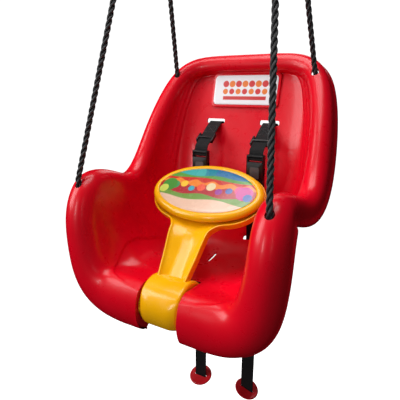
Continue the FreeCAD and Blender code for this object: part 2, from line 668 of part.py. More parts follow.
def ring_tangents():
    """Where the rope's front and rear runs meet its turn over the ring's wire, and the turn's top."""
    wire = Vector(RING_SPREAD, AXIS_BACK, AXIS_UP)
    turn = (RING_WIRE + ROPE) / 2 + ROPE_CLEAR
    normal = (FRONT_HOLE - wire).cross(REAR_HOLE - wire)
    normal.normalize()
    tangents = []
    for hole, sense in ((FRONT_HOLE, -1), (REAR_HOLE, 1)):
        way = hole - wire
        share = turn / way.Length
        way.normalize()
        across = normal.cross(way) * sense
        tangents.append(wire + way * (turn * share) + across * (turn * math.sqrt(1 - share * share)))
    down = FRONT_HOLE + REAR_HOLE - wire * 2
    down.normalize()
    return tangents, wire - down * turn


def rope_leg(hole, knot, tangent):
    """Edges of one rope run, from its knot through the hole and up to the ring."""
    up = tangent - hole
    up.normalize()
    down = Vector(knot)
    down.normalize()
    end = hole + down * (knot.Length - KNOT_HEIGHT / 2 + KNOT_FLAT)
    reach = BEND_SHARE * (end - hole).Length
    low, high = hole + down * reach, hole + up * reach
    half_turn = (math.pi - down.getAngle(up)) / 2
    radius = reach / math.tan(half_turn)
    inward = up + down
    inward.normalize()
    middle = hole + inward * (radius / math.cos(half_turn) - radius)
    print("rope bend radius", round(radius, 1), "straight run", round((tangent - high).Length, 1))
    return [Part.makeLine(end, low), Part.Arc(low, middle, high).toShape(), Part.makeLine(high, tangent)]


def rope(side):
    """One rope: from the front knot up over the ring's wire and down to the rear knot."""
    (front, rear), top = ring_tangents()
    edges = rope_leg(FRONT_HOLE, FRONT_KNOT, front)
    start, way = edges[0].Vertexes[0].Point, edges[0].tangentAt(edges[0].FirstParameter)
    edges.append(Part.Arc(front, top, rear).toShape())
    edges += rope_leg(REAR_HOLE, REAR_KNOT, rear)[::-1]
    wire = Part.Wire(Part.__sortEdges__(edges))
    circle = Part.Wire([Part.Circle(start, way, ROPE / 2).toShape()])
    tube = wire.makePipeShell([circle], True, False)
    print("rope length", round(wire.Length, 1), "volume", round(tube.Volume),
          "of", round(wire.Length * math.pi * ROPE ** 2 / 4))
    return mirrored(tube, side)


def rope_knot(side, hole, offset):
    """The stopper knot under a rope hole, with its short tail."""
    up = offset * -1.0
    up.normalize()
    knot = Part.makeSphere(KNOT_RADIUS, Vector(0, 0, 0))
    squeeze = FreeCAD.Matrix()
    squeeze.scale(Vector(1, 1, KNOT_HEIGHT / 2 / KNOT_RADIUS))
    knot = knot.transformGeometry(squeeze)
    knot = knot.common(box(-20, 20, -20, 20, -KNOT_HEIGHT, KNOT_HEIGHT / 2 - KNOT_FLAT))
    tail = Part.makeCylinder(ROPE / 2, KNOT_TAIL, Vector(0, 0, -KNOT_HEIGHT / 2 - KNOT_TAIL + 4))
    knot = knot.fuse(tail)
    x_axis = Vector(0, 1, 0).cross(up)
    x_axis.normalize()
    return mirrored(placed(knot, hole + offset, x_axis, up.cross(x_axis)), side)


# ---- writing --------------------------------------------------------------------------------
def all_parts():
    parts = {
        "seat_shell": seat_shell(),
        "back_label": back_label(),
        "tbar_frame": tbar_frame(),
        "tbar_tray": tbar_tray(),
        "tbar_tray_label": tray_label(),
        "tbar_screws": tbar_screws(),
        "tbar_knuckle": hinge_knuckle(),
        "hinge_pin": hinge_pin(),
    }
    for name, side in SIDES:
        parts["hinge_bush_" + name] = hinge_bush(side)
        parts["hinge_pin_cap_" + name] = pin_cap(side)
        parts["hanger_ring_" + name] = hanger_ring(side)
        parts["rope_" + name] = rope(side)
        parts["rope_knot_front_" + name] = rope_knot(side, FRONT_HOLE, FRONT_KNOT)
        parts["rope_knot_rear_" + name] = rope_knot(side, REAR_HOLE, REAR_KNOT)
        parts["shoulder_strap_" + name] = shoulder_strap(side)
        parts["shoulder_strap_disc_" + name] = shoulder_disc(side)
        parts["strap_adjuster_" + name] = adjuster(side)
        parts["buckle_socket_" + name] = buckle_socket(side)
        parts["buckle_tongue_" + name] = buckle_tongue(side)
        parts["hip_strap_" + name] = hip_strap(side)
        parts["hip_strap_disc_" + name] = hip_disc(side)
    return parts


os.makedirs("parts", exist_ok=True)
for node, shape in all_parts().items():
    shape.translate(Vector(0, -AXIS_BACK, -AXIS_UP))
    print(node, shape.isValid(), len(shape.Solids), round(shape.Volume))
    shape.exportStep("parts/" + node + ".step")
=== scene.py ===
import json
import math
from contextlib import contextmanager

import bmesh
import bpy
import numpy as np
from mathutils import Matrix, Vector


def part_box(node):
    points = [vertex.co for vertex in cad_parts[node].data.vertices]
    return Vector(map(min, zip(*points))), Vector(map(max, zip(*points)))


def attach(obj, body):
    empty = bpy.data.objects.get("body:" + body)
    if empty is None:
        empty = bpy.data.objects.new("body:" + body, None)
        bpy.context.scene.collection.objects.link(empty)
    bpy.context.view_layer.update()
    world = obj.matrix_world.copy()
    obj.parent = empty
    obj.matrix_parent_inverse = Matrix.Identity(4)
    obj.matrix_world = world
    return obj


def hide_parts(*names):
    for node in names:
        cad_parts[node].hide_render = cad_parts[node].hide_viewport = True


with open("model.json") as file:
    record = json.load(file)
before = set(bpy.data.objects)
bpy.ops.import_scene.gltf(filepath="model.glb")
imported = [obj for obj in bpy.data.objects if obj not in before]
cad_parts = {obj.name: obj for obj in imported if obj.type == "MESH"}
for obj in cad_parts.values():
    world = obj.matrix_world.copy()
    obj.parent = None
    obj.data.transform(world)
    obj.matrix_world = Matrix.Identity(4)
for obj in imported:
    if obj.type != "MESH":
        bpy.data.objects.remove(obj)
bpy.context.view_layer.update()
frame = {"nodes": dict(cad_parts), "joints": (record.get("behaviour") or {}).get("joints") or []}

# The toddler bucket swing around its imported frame.  Lengths below are in millimetres about the seat
# datum, midway between the two front rope holes, with +Z up and the child facing -Y.
MM = 0.001
PIVOT = (0.0, 22.0, -188.0)                   # T-bar hinge in the seat's millimetres
HINGE = [j for j in frame["joints"] if j["name"] == "tbar_hinge"][0]["pos_m"]
DATUM = Vector(HINGE) - Vector(PIVOT) * MM
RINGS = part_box("hanger_ring_right")
RING_SPREAD = (RINGS[0].x + RINGS[1].x) / 2 / MM
SIDES = (("left", -1), ("right", 1))
X, Y, Z = np.eye(3)

# ---- sizes of the seat ----------------------------------------------------------------------
# Half of the rim, from the middle of the front lip round the right arm to the middle of the top
# edge.  Each row: crest x, y, z; half width of the roll; its bulge; skirt beyond the roll; upward
# lean of the rim's facing; foot of the side wall: half width and place along the floor; place along
# the floor where that section starts on the centre line.
RIM = (
    (0, -24, -194, 45, 26, 2, 0.0, 0, 26, 36),
    (60, -24, -193, 45, 26, 2, 0.0, 45, 27, 39),
    (112, -25, -187, 43, 26, 4, 0.05, 86, 32, 45),
    (146, -27, -158, 36, 27, 6, 0.2, 106, 40, 51),
    (160, -27, -105, 31, 28, 8, 0.5, 114, 50, 59),
    (165, -22, -48, 28, 27, 12, 0.8, 118, 62, 68),
    (165, -1, -4, 26, 25, 18, 1.0, 121, 80, 82),
    (166, 34, 14, 23, 22, 20, 1.0, 123, 106, 106),
    (170, 84, 4, 21, 20, 20, 1.0, 126, 142, 142),
    (175, 132, -10, 20, 19, 21, 1.0, 128, 208, 205),
    (176, 170, 12, 20, 19, 27, 1.0, 130, 298, 290),
    (172, 203, 66, 19, 19, 34, 0.9, 131, 388, 374),
    (162, 237, 124, 19, 19, 35, 0.7, 128, 466, 440),
    (143, 268, 173, 19, 19, 34, 0.5, 114, 526, 488),
    (110, 287, 195, 19, 18, 30, 0.35, 86, 552, 516),
    (58, 293, 198, 19, 18, 27, 0.25, 44, 561, 530),
    (0, 294, 198, 19, 18, 27, 0.25, 0, 562, 536),
)
# Seat pan and back along the centre line (y, z), measured along its length from FLOOR_START.
FLOOR = ((-60, -143), (0, -149), (60, -154), (120, -160), (170, -163), (205, -154), (228, -130),
         (243, -95), (258, -35), (272, 30), (286, 88), (301, 150), (316, 212))
FLOOR_START = -60.0
WALL = 3.6
SKIRT_FLARE = 0.06
SECTION_STEPS = 14            # points from the centre line to the rolled rim
ROLL_STEPS = 8
SKIRT_STEPS = 2
RIM_SECTIONS = 40             # sections from the lip's middle to the top edge's middle
SHEET_ROWS = 361              # rows of the fine mesh over the same way
FLANGE = 2.6                  # how far the skirt's edge turns out
NOTCH_HALF = 38.0
KNUCKLE_RADIUS = 44.0
KNUCKLE_HALF = 36.0
KNUCKLE_GAP = 2.0
CROWN = 5.5                   # how much smaller the knuckle's ends are than its middle, in radius
FLAT_HALF = 16.0              # half width of the knuckle's middle, which stays a plain barrel
CHEEK_PLACE = 0.63            # section of the rim that lies at the notch's edge
CHEEK_THICK = 4.0
LABEL_AT = 524.0              # middle of the label along the floor line
LABEL = (134.0, 58.0)
PAD_PROUD = 2.2               # how far the label's pad stands out of the back
STRAP_X = 58.0                # harness centre lines, left and right
STRAP_Y = 223.0               # hip strap plane
SLOT_HALF = 20.0              # half length of the four strap slots
SLOT_CORNER = 3.0
SHOULDER_SLOT_Z = 83.0
SHOULDER_SLOT_RISE = 4.6      # half widths of the slots
HIP_SLOT_RISE = 4.0
SLIT = (0, 164.5, 2.4, 17.5, 2.3)             # the pan's slit: middle, half sizes and corner

# Outlines of the moulded panels: the back seen from the front (x, z), the pan from above (x, y).
BACK_PANEL = ((0, 180), (84, 180), (99, 173), (109, 161), (116, 145), (125, 106), (129, 74),
              (131, 40), (133, 5), (132, -60), (0, -60))
PAN_PANEL = ((0, -12), (40, -12), (64, -10), (86, -5), (101, 3), (110, 14), (115, 34), (117, 90),
             (112, 140), (100, 178), (70, 196), (0, 196))

BACK_DEPTH = 2.2              # how deep the two panels lie
PAN_DEPTH = 2.1
RIDGE_OUT = 9.5               # the 1 mm ridge outside the back's panel: its distance and its width
RIDGE_WIDTH = 2.2

RING_WIRE = 8.0
RING_RADIUS = 22.0
ROPE = 9.5
ROPE_HOLE = 13.5
FRONT_HOLE = np.array((165.0, -0.5, -1.0))
REAR_HOLE = np.array((141.5, 271.0, 175.0))
FRONT_KNOT = np.array((0.0, 8.0, -20.0))
REAR_KNOT = np.array((3.0, 9.0, -17.0))
ROPE_ENDS = (("front", FRONT_HOLE, FRONT_KNOT), ("rear", REAR_HOLE, REAR_KNOT))
KNOT_HEIGHT = 19.0
KNOT_ROPE = 8.2               # the rope is pulled thinner in the knots, and its strands lie shorter
KNOT_LAY = 26.0
ROPE_LAY = 34.0               # length of one turn of a strand
STRAND_OUT = 0.268            # a strand's place off the rope's middle and its radius, in diameters
STRAND_RADIUS = 0.236


# ---- small helpers --------------------------------------------------------------------------
def seat(point):
    """A point in the seat's millimetres, in the frame's metres."""
    return DATUM + Vector([float(c) for c in point]) * MM


def to_frame(points):
    return np.asarray(points, float) * MM + np.array(DATUM)


def unit(vector):
    vector = np.asarray(vector, float)
    return vector / np.linalg.norm(vector)


def directions(line):
    """Unit vectors along a line at each of its points."""
    ways = np.gradient(np.array(line, float), axis=0)
    return ways / np.linalg.norm(ways, axis=1, keepdims=True)


def measured(line):
    """How far along a line each of its points lies."""
    steps = np.linalg.norm(np.diff(np.array(line, float), axis=0), axis=1)
    return np.concatenate(([0.0], np.cumsum(steps)))


def smooth_step(low, high, value):
    share = np.clip((value - low) / (high - low), 0.0, 1.0)
    return share * share * (3.0 - 2.0 * share)


def link(obj):
    bpy.context.scene.collection.objects.link(obj)
    return obj


def mesh_object(name, points, faces, sharp=35.0, marks=None, layer="marks"):
    """A shaded mesh object from points in the seat's millimetres, with a UV for each if given."""
    mesh = bpy.data.meshes.new(name)
    mesh.from_pydata(to_frame(points).tolist(), [], [list(f) for f in faces])
    mesh.update()
    if marks is not None:
        corners = np.zeros(len(mesh.loops), int)
        mesh.loops.foreach_get("vertex_index", corners)
        uv = mesh.uv_layers.new(name=layer)
        uv.uv.foreach_set("vector", np.array(marks, float)[corners].ravel())
    obj = link(bpy.data.objects.new(name, mesh))
    tidy_mesh(obj, sharp)
    return obj


@contextmanager
def edited(mesh):
    """A mesh opened for editing, and written back at the end."""
    edit = bmesh.new()
    edit.from_mesh(mesh)
    yield edit
    edit.to_mesh(mesh)
    edit.free()


def tidy_mesh(obj, sharp=35.0):
    """Weld, outward normals, smooth shading broken at sharp edges."""
    with edited(obj.data) as edit:
        bmesh.ops.remove_doubles(edit, verts=edit.verts, dist=0.02 * MM)
        bmesh.ops.recalc_face_normals(edit, faces=edit.faces)
    obj.data.polygons.foreach_set("use_smooth", [True] * len(obj.data.polygons))
    obj.data.set_sharp_from_angle(angle=math.radians(sharp))


def apply_modifiers(obj):
    """Puts the result of the object's modifiers into its mesh."""
    bpy.context.view_layer.update()
    graph = bpy.context.evaluated_depsgraph_get()
    result = bpy.data.meshes.new_from_object(obj.evaluated_get(graph))
    obj.modifiers.clear()
    obj.data = result
    return obj


def joined(objects, name):
    """One object from several, all at the origin."""
    edit = bmesh.new()
    for obj in objects:
        edit.from_mesh(obj.data)
        bpy.data.objects.remove(obj)
    mesh = bpy.data.meshes.new(name)
    edit.to_mesh(mesh)
    edit.free()
    return link(bpy.data.objects.new(name, mesh))


def place(obj, body, material, slot, replaced=()):
    """Gives a finished piece its material and its body, and hides the CAD nodes it stands for; the slot is
    not used.
    """
    obj.data.materials.clear()
    obj.data.materials.append(material)
    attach(obj, body)
    if replaced:
        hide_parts(*replaced)
    return obj


def cad_copy(node, name, bevel):
    """A copy of a CAD node's mesh with its flat faces merged and its edges rounded."""
    mesh = frame["nodes"][node].data.copy()
    mesh.materials.clear()
    obj = link(bpy.data.objects.new(name, mesh))
    with edited(mesh) as edit:
        bmesh.ops.remove_doubles(edit, verts=edit.verts, dist=0.005 * MM)
        bmesh.ops.dissolve_limit(edit, angle_limit=math.radians(2), verts=edit.verts, edges=edit.edges)
    rounding = obj.modifiers.new("round", "BEVEL")
    rounding.width = bevel * MM
    rounding.segments = 3
    rounding.limit_method = "ANGLE"
    rounding.angle_limit = math.radians(30)
    apply_modifiers(obj)
    tidy_mesh(obj, 40.0)
    return obj


def grid_faces(rows, columns, wrap_columns=False, wrap_rows=False):
    """Quads between neighbouring points of a grid numbered row by row."""
    faces = []
    for i in range(rows if wrap_rows else rows - 1):
        for j in range(columns if wrap_columns else columns - 1):
            a, b = i * columns + j, i * columns + (j + 1) % columns
            k = (i + 1) % rows
            faces.append((a, b, k * columns + (j + 1) % columns, k * columns + j))
    return faces


def capped_faces(rows, columns, first=0, seam=False):
    """Faces of a closed tube of rows of points; with a seam, a row's last point repeats its first."""
    faces = grid_faces(rows, columns, wrap_columns=not seam)
    ring = range(columns - seam)
    faces.append(tuple(ring))
    faces.append(tuple((rows - 1) * columns + k for k in ring)[::-1])
    return [tuple(first + c for c in f) for f in faces]


def prism(outline, axis, low, high):
    """A closed solid from an outline in the plane across an axis, between two places on it."""
    count = len(outline)
    points = []
    for level in (low, high):
        for a, b in outline:
            point = [a, b]
            point.insert(axis, level)
            points.append(point)
    faces = [tuple(range(count)), tuple(range(2 * count - 1, count - 1, -1))]
    for i in range(count):
        j = (i + 1) % count
        faces.append((i, j, count + j, count + i))
    return points, faces


def round_rectangle(a, b, half_a, half_b, corner, steps=5):
    outline = []
    for turn, (sa, sb) in enumerate(((1, 1), (-1, 1), (-1, -1), (1, -1))):
        for i in range(steps + 1):
            angle = math.pi / 2 * (turn + i / steps)
            outline.append((a + sa * (half_a - corner) + corner * math.cos(angle),
                            b + sb * (half_b - corner) + corner * math.sin(angle)))
    return outline


def path_frames(line, guide=(0.31, 0.72, 0.21)):
    """Two unit vectors across a line at each point, carried along it without twist."""
    ways = directions(line)
    normal = unit(np.cross(ways[0], guide))
    normals = []
    for way in ways:
        normal = unit(normal - way * normal.dot(way))
        normals.append(normal)
    normals = np.array(normals)
    return normals, np.cross(ways, normals)


def turns(count):
    """Even steps once round a circle."""
    return [2 * math.pi * k / count for k in range(count)]


def circle(centre, one, other, radius, sides):
    """Points round a centre in the plane of two unit vectors."""
    return [centre + (one * math.cos(t) + other * math.sin(t)) * radius for t in turns(sides)]


def capped_tube(name, path, radius):
    """A closed round tube along a path of a few points."""
    points, sides = [], 24
    for spot, one, other in zip(path, *path_frames(path, (0.3, 0.7, 0.2))):
        points += circle(spot, one, other, radius, sides)
    return mesh_object(name, points, capped_faces(len(path), sides))


def cut(obj, cutters):
    """Takes closed cutter objects out of an object."""
    for tool in cutters:
        change = obj.modifiers.new("cut", "BOOLEAN")
        change.operation = "DIFFERENCE"
        change.solver = "MANIFOLD"
        change.object = tool
    apply_modifiers(obj)
    for tool in cutters:
        bpy.data.objects.remove(tool)


# ---- materials ------------------------------------------------------------------------------
class Look:
    """A node material with a principled shader, and short ways to add to it."""

    def __init__(self, name, **sockets):
        self.material = bpy.data.materials.new(name)
        self.material.use_nodes = True
        self.tree = self.material.node_tree
        self.shader = self.tree.nodes["Principled BSDF"]
        for socket, value in sockets.items():
            self.shader.inputs[socket.replace("_", " ")].default_value = value
        self.place = self.node("ShaderNodeTexCoord").outputs["Object"]

    def node(self, kind, inputs=None, **settings):
        """A node with its settings, and its inputs by name or number."""
        made = self.tree.nodes.new(kind)
        for key, value in settings.items():
            setattr(made, key, value)
        for key, value in (inputs or {}).items():
            self.feed(made.inputs[key], value)
        return made

    def feed(self, socket, value):
        """Gives an input another node's output or a plain value."""
        if isinstance(value, bpy.types.NodeSocket):
            self.tree.links.new(value, socket)
        else:
            socket.default_value = value

    def noise(self, scale, detail=3.0):
        inputs = {"Vector": self.place, "Scale": scale, "Detail": detail}
        return self.node("ShaderNodeTexNoise", inputs).outputs["Fac"]

    def ramp(self, source, low, high, first, second):
        """Colour or number from a source between two places, as a colour ramp."""
        made = self.node("ShaderNodeValToRGB", {"Fac": source})
        for stop, position, tone in zip(made.color_ramp.elements, (low, high), (first, second)):
            stop.position = position
            stop.color = tone
        return made.outputs["Color"]

    def range(self, source, low, high, from_low=0.3, from_high=0.7):
        inputs = {"Value": source, "From Min": from_low, "From Max": from_high, "To Min": low,
                  "To Max": high}
        return self.node("ShaderNodeMapRange", inputs).outputs["Result"]

    def math(self, operation, *values):
        return self.node("ShaderNodeMath", dict(enumerate(values)), operation=operation).outputs[0]

    def add(self, first, second):
        return self.math("ADD", first, second)

    def less(self, first, second):
        return self.math("SUBTRACT", first, second)

    def times(self, first, second):
        return self.math("MULTIPLY", first, second)

    def wave(self, source, turns):
        """The sine of a source, with so many whole waves to each unit of it."""
        return self.math("SINE", self.times(source, 2 * math.pi * turns))

    def uv(self, layer):
        """The two coordinates of a UV layer."""
        source = self.node("ShaderNodeUVMap", uv_map=layer).outputs["UV"]
        split = self.node("ShaderNodeSeparateXYZ", {0: source})
        return split.outputs["X"], split.outputs["Y"]

    def mix(self, factor, first, second, blend="MIX"):
        inputs = {0: factor, 6: first, 7: second}
        return self.node("ShaderNodeMix", inputs, data_type="RGBA", blend_type=blend).outputs[2]

    def colour(self, source):
        self.feed(self.shader.inputs["Base Color"], source)

    def finished(self, tone, rough, *bumps):
        """The material with its colour, roughness and bumps, which are stacked one on another:
        each is (height source, strength, distance in metres)."""
        self.colour(tone)
        self.feed(self.shader.inputs["Roughness"], rough)
        before = None
        for height, strength, distance in bumps:
            inputs = {"Strength": strength, "Distance": distance, "Height": height}
            if before:
                inputs["Normal"] = before
            before = self.node("ShaderNodeBump", inputs).outputs["Normal"]
        self.feed(self.shader.inputs["Normal"], before)
        return self.material


def moulded_plastic(name, deep, bright, rough_low, rough_high, peel=0.25, coat=0.3):
    """Glossy moulded plastic: cloudy pigment, orange peel, slow sink marks and fine wear."""
    look = Look(name, IOR=1.4, Coat_Weight=coat, Coat_Roughness=0.08)
    cloud = look.ramp(look.noise(14.0, 4.0), 0.3, 0.7, deep, bright)
    specks = look.range(look.noise(900.0, 2.0), 0.0, 0.03, 0.5, 0.8)
    scuffs = look.range(look.noise(60.0, 8.0), rough_low, rough_high, 0.35, 0.75)
    return look.finished(look.mix(specks, cloud, (1, 1, 1, 1), "SOFT_LIGHT"), scuffs,
                         (look.noise(9.0, 1.0), 0.35, 0.0012), (look.noise(420.0, 2.0), peel, 0.00012))


def metal_look(name, tone, rough=0.32):
    look = Look(name, Metallic=1.0)
    grain = look.noise(160.0, 6.0)
    shade = look.ramp(grain, 0.25, 0.75, tuple(c * 0.72 for c in tone) + (1,), tone + (1,))
    return look.finished(shade, look.range(grain, rough - 0.08, rough + 0.14),
                         (look.noise(700.0, 3.0), 0.25, 0.00008))


RIB_PITCH = 0.0017            # webbing's ribs across and along, in metres
PICK_PITCH = 0.0013


def weave_look():
    """Black polyester webbing: ribs across and along from the strap's own UV, in metres."""
    look = Look("black_webbing", Specular_IOR_Level=0.25, Sheen_Weight=0.03, Sheen_Roughness=0.45)
    u, v = look.uv("weave")
    across, along = look.wave(u, 1 / RIB_PITCH), look.wave(v, 1 / PICK_PITCH)
    cloth = look.times(across, along)
    fuzz = look.noise(2600.0, 3.0)
    height = look.add(look.add(cloth, look.times(across, 0.6)), fuzz)
    dark, light, dusty = (0.002, 0.002, 0.0025, 1), (0.011, 0.011, 0.012, 1), (0.008, 0.0078, 0.009, 1)
    tone = look.ramp(look.add(cloth, fuzz), 0.2, 1.6, dark, light)
    dust = look.range(look.noise(35.0), 0.0, 0.35)
    return look.finished(look.mix(dust, tone, dusty), look.range(fuzz, 0.6, 0.85),
                         (height, 0.55, 0.00022))


def rope_look():
    """Black polypropylene: fine yarns that run along each strand, from the strand's own UV."""
    look = Look("black_rope_yarn", Sheen_Weight=0.25, Sheen_Roughness=0.4)
    u, v = look.uv("yarn")
    slant = look.add(look.times(u, 26.0 * math.pi), look.times(v, 620.0))
    yarn = look.math("SINE", slant)
    fuzz = look.noise(1900.0, 4.0)
    tone = look.ramp(look.add(look.times(yarn, 0.35), fuzz), 0.1, 1.0, (0.004, 0.004, 0.005, 1),
                     (0.04, 0.04, 0.044, 1))
    return look.finished(tone, look.range(fuzz, 0.38, 0.62), (yarn, 0.5, 0.0003), (fuzz, 0.4, 0.0002))


class Print(Look):
    """A printed picture: flat colours laid one over another at places in the print's own UV."""

    def __init__(self, name, ground, rough):
        super().__init__(name, Coat_Weight=0.5, Coat_Roughness=0.1)
        self.x, self.y = [self.times(way, 1000.0) for way in self.uv("print")]
        self.paint = ground
        self.base_rough = rough

    def lay(self, mask, tone):
        self.paint = self.mix(mask, self.paint, tone)

    def inside(self, value):
        """A mask that is 1 where the value is above 0, with a soft printed edge."""
        return self.range(value, 0.0, 1.0, -0.5, 0.5)

    def hill(self, level, swell, pitch, shift, tone):
        """Everything below a wavy line at a height."""
        line = self.times(self.wave(self.add(self.x, shift), 1 / pitch), swell)
        self.lay(self.inside(self.times(self.less(self.less(self.y, line), level), -1.0)), tone)

    def disc(self, x, y, radius, tone):
        dx, dy = self.less(self.x, x), self.less(self.y, y)
        reach = self.math("SQRT", self.add(self.times(dx, dx), self.times(dy, dy)))
        self.lay(self.inside(self.less(radius, reach)), tone)

    def bar(self, x, y, half_x, half_y, tone):
        wide = self.less(half_x, self.math("ABSOLUTE", self.less(self.x, x)))
        tall = self.less(half_y, self.math("ABSOLUTE", self.less(self.y, y)))
        self.lay(self.inside(self.math("MINIMUM", wide, tall)), tone)

    def done(self):
        grain = self.noise(1500.0, 2.0)
        tone = self.mix(self.range(grain, 0.0, 0.1), self.paint, (0.5, 0.5, 0.5, 1), "OVERLAY")
        rough = self.range(self.noise(45.0, 5.0), self.base_rough, self.base_rough + 0.15)
        return self.finished(tone, rough, (self.noise(60.0, 1.0), 0.2, 0.0004), (grain, 0.1, 0.00005))


def tray_picture():
    """Abstract hills, stripes and dots in bright colours."""
    look = Print("tray_print", (0.02, 0.22, 0.30, 1), 0.18)
    look.disc(-40, 34, 26, (0.05, 0.38, 0.36, 1))
    look.disc(36, 40, 30, (0.03, 0.16, 0.34, 1))
    look.hill(31, 2.5, 90, 10, (0.10, 0.30, 0.05, 1))
    look.hill(24, 2.0, 130, 40, (0.55, 0.03, 0.02, 1))
    look.hill(17, 3.0, 34, 0, (0.80, 0.22, 0.03, 1))
    look.hill(6, 3.0, 44, 12, (0.42, 0.02, 0.03, 1))
    look.hill(-13, 2.5, 75, 22, (0.16, 0.30, 0.05, 1))
    look.hill(-23, 3.0, 110, 0, (0.78, 0.50, 0.36, 1))
    tones = ((0.05, 0.30, 0.10, 1), (0.85, 0.50, 0.03, 1), (0.05, 0.35, 0.45, 1), (0.80, 0.10, 0.05, 1),
             (0.75, 0.60, 0.35, 1), (0.30, 0.04, 0.30, 1), (0.05, 0.12, 0.40, 1), (0.75, 0.05, 0.22, 1))
    for i, tone in enumerate(tones):
        look.disc(-63 + i * 18, 3 + 5 * math.sin(i * 2.1), 7.5 + 1.5 * math.cos(i * 1.7), tone)
    look.disc(-74, 2, 15, (0.07, 0.26, 0.04, 1))
    look.disc(-82, -8, 9, (0.55, 0.62, 0.10, 1))
    look.disc(74, 2, 15, (0.55, 0.04, 0.28, 1))
    look.disc(82, -6, 8, (0.05, 0.12, 0.40, 1))
    return look.done()


def label_picture():
    """A white label with plain rounded stripes and dots."""
    look = Print("label_print", (0.86, 0.87, 0.90, 1), 0.3)
    tones = (0.65, 0.03, 0.03, 1), (0.82, 0.20, 0.02, 1)
    for i in range(7):
        look.disc(-42 + i * 14, 12, 6.5, tones[i % 2])
        look.disc(-42 + i * 14, -3, 5.6, tones[1 - i % 2])
    look.bar(0, -16, 46, 3.6, (0.62, 0.03, 0.03, 1))
    return look.done()


def thread_look():
    look = Look("black_thread", Sheen_Weight=0.3)
    fuzz = look.noise(2400.0, 3.0)
    tone = look.ramp(fuzz, 0.3, 0.7, (0.012, 0.012, 0.013, 1), (0.05, 0.05, 0.052, 1))
    return look.finished(tone, look.range(fuzz, 0.5, 0.75), (fuzz, 0.5, 0.0001))


RED = moulded_plastic("red_moulded", (0.71, 0, 0.010, 1), (0.76, 0, 0.014, 1), 0.27, 0.33, 0.12, 0.12)
YELLOW = moulded_plastic("yellow_moulded", (0.90, 0.40, 0.001, 1), (0.95, 0.47, 0.002, 1), 0.2, 0.32)
DISC_RED = moulded_plastic("red_disc_plastic", (0.55, 0.004, 0.01, 1), (0.66, 0.008, 0.016, 1), 0.28, 0.45)
BLACK = moulded_plastic("black_acetal", (0.005, 0.005, 0.0055, 1), (0.012, 0.012, 0.013, 1),
                        0.3, 0.45, 0.5, 0.0)
NYLON = moulded_plastic("natural_nylon", (0.74, 0.72, 0.66, 1), (0.84, 0.82, 0.77, 1),
                        0.35, 0.5, 0.3, 0.0)
# Grey of the buckles' face plates: painted highlight, a lighter grey that stands in for light on the black
# buckles.
HIGHLIGHT_GREY = moulded_plastic("grey_painted_highlight", (0.055, 0.056, 0.06, 1), (0.085, 0.086, 0.09, 1),
                       0.38, 0.55, 0.6, 0.0)
ZINC = metal_look("zinc_plate", (0.62, 0.63, 0.66))
WELDED = metal_look("welded_ring_steel", (0.58, 0.59, 0.61), 0.28)
WEBBING = weave_look()
YARN = rope_look()
THREAD = thread_look()
TRAY_PRINT = tray_picture()
LABEL_PRINT = label_picture()


# ---- camera, light and floor ----------------------------------------------------------------
VIEW_TURN, VIEW_DROP = 29.5, 16.0             # degrees round from the front, and down
VIEW_SPOT = (314.0, -438.4, 145.4)


def build_camera():
    camera = bpy.data.cameras.new("camera")
    camera.sensor_width = 36.0
    camera.lens = 34.65
    eye = link(bpy.data.objects.new("camera", camera))
    eye.location = seat(VIEW_SPOT)
    eye.rotation_euler = (math.pi / 2 - math.radians(VIEW_DROP), 0.0, math.radians(VIEW_TURN))
    bpy.context.scene.camera = eye


def area(name, spot, aim, size, power):
    """A rectangular lamp at a spot, turned towards another."""
    data = bpy.data.lights.new(name, "AREA")
    data.shape = "RECTANGLE"
    data.size, data.size_y = size
    data.energy = power
    lamp = link(bpy.data.objects.new(name, data))
    lamp.location = seat(spot)
    way = Vector(aim) - Vector(spot)
    lamp.rotation_euler = way.to_track_quat("-Z", "Y").to_euler()


def build_lights():
    area("key_light", (-1650, -1150, 900), (0, 60, -60), (1.1, 1.5), 31)
    area("strip_light", (-420, -1650, 330), (0, 60, -80), (0.16, 0.6), 4.0)
    area("top_light", (-150, -150, 1650), (0, 90, -100), (1.3, 1.3), 27)
    area("edge_light", (900, -1500, 500), (0, 80, -20), (0.12, 0.9), 0.8)
    area("back_light", (-500, 1900, 900), (0, 200, 0), (1.2, 1.2), 9)
    world = bpy.data.worlds.new("studio")
    world.use_nodes = True
    background = world.node_tree.nodes["Background"].inputs
    background["Color"].default_value = (1, 1, 1, 1)
    background["Strength"].default_value = 0.13
    world.cycles_visibility.glossy = False
    bpy.context.scene.world = world
    bpy.context.scene.view_settings.view_transform = "Standard"


def build_floor():
    """A pale floor that curves up into a dome all round, lit by itself."""
    look = Look("pale_floor", Roughness=0.9, Emission_Color=(1, 1, 1, 1), Emission_Strength=0.92)
    look.colour(look.ramp(look.noise(3.0), 0.3, 0.7, (0.93, 0.93, 0.93, 1), (0.96, 0.96, 0.96, 1)))
    profile = [(400 * i, -1250) for i in range(9)]
    for i in range(1, 13):
        angle = math.pi / 2 * i / 12
        profile.append((3200 + 1300 * math.sin(angle), 50 - 1300 * math.cos(angle)))
    for i in range(1, 19):
        angle = math.pi / 2 * i / 18
        profile.append((4500 * math.cos(angle), 1200 + 4500 * math.sin(angle)))
    points = []
    for reach, height in profile:
        points += circle((0, 0, height), X, Y, reach, 64)
    floor = mesh_object("floor", points, grid_faces(len(profile), 64, wrap_columns=True), 180.0)
    floor.data.materials.append(look.material)
    floor.visible_glossy = False
    floor.visible_diffuse = False
    floor.visible_shadow = False


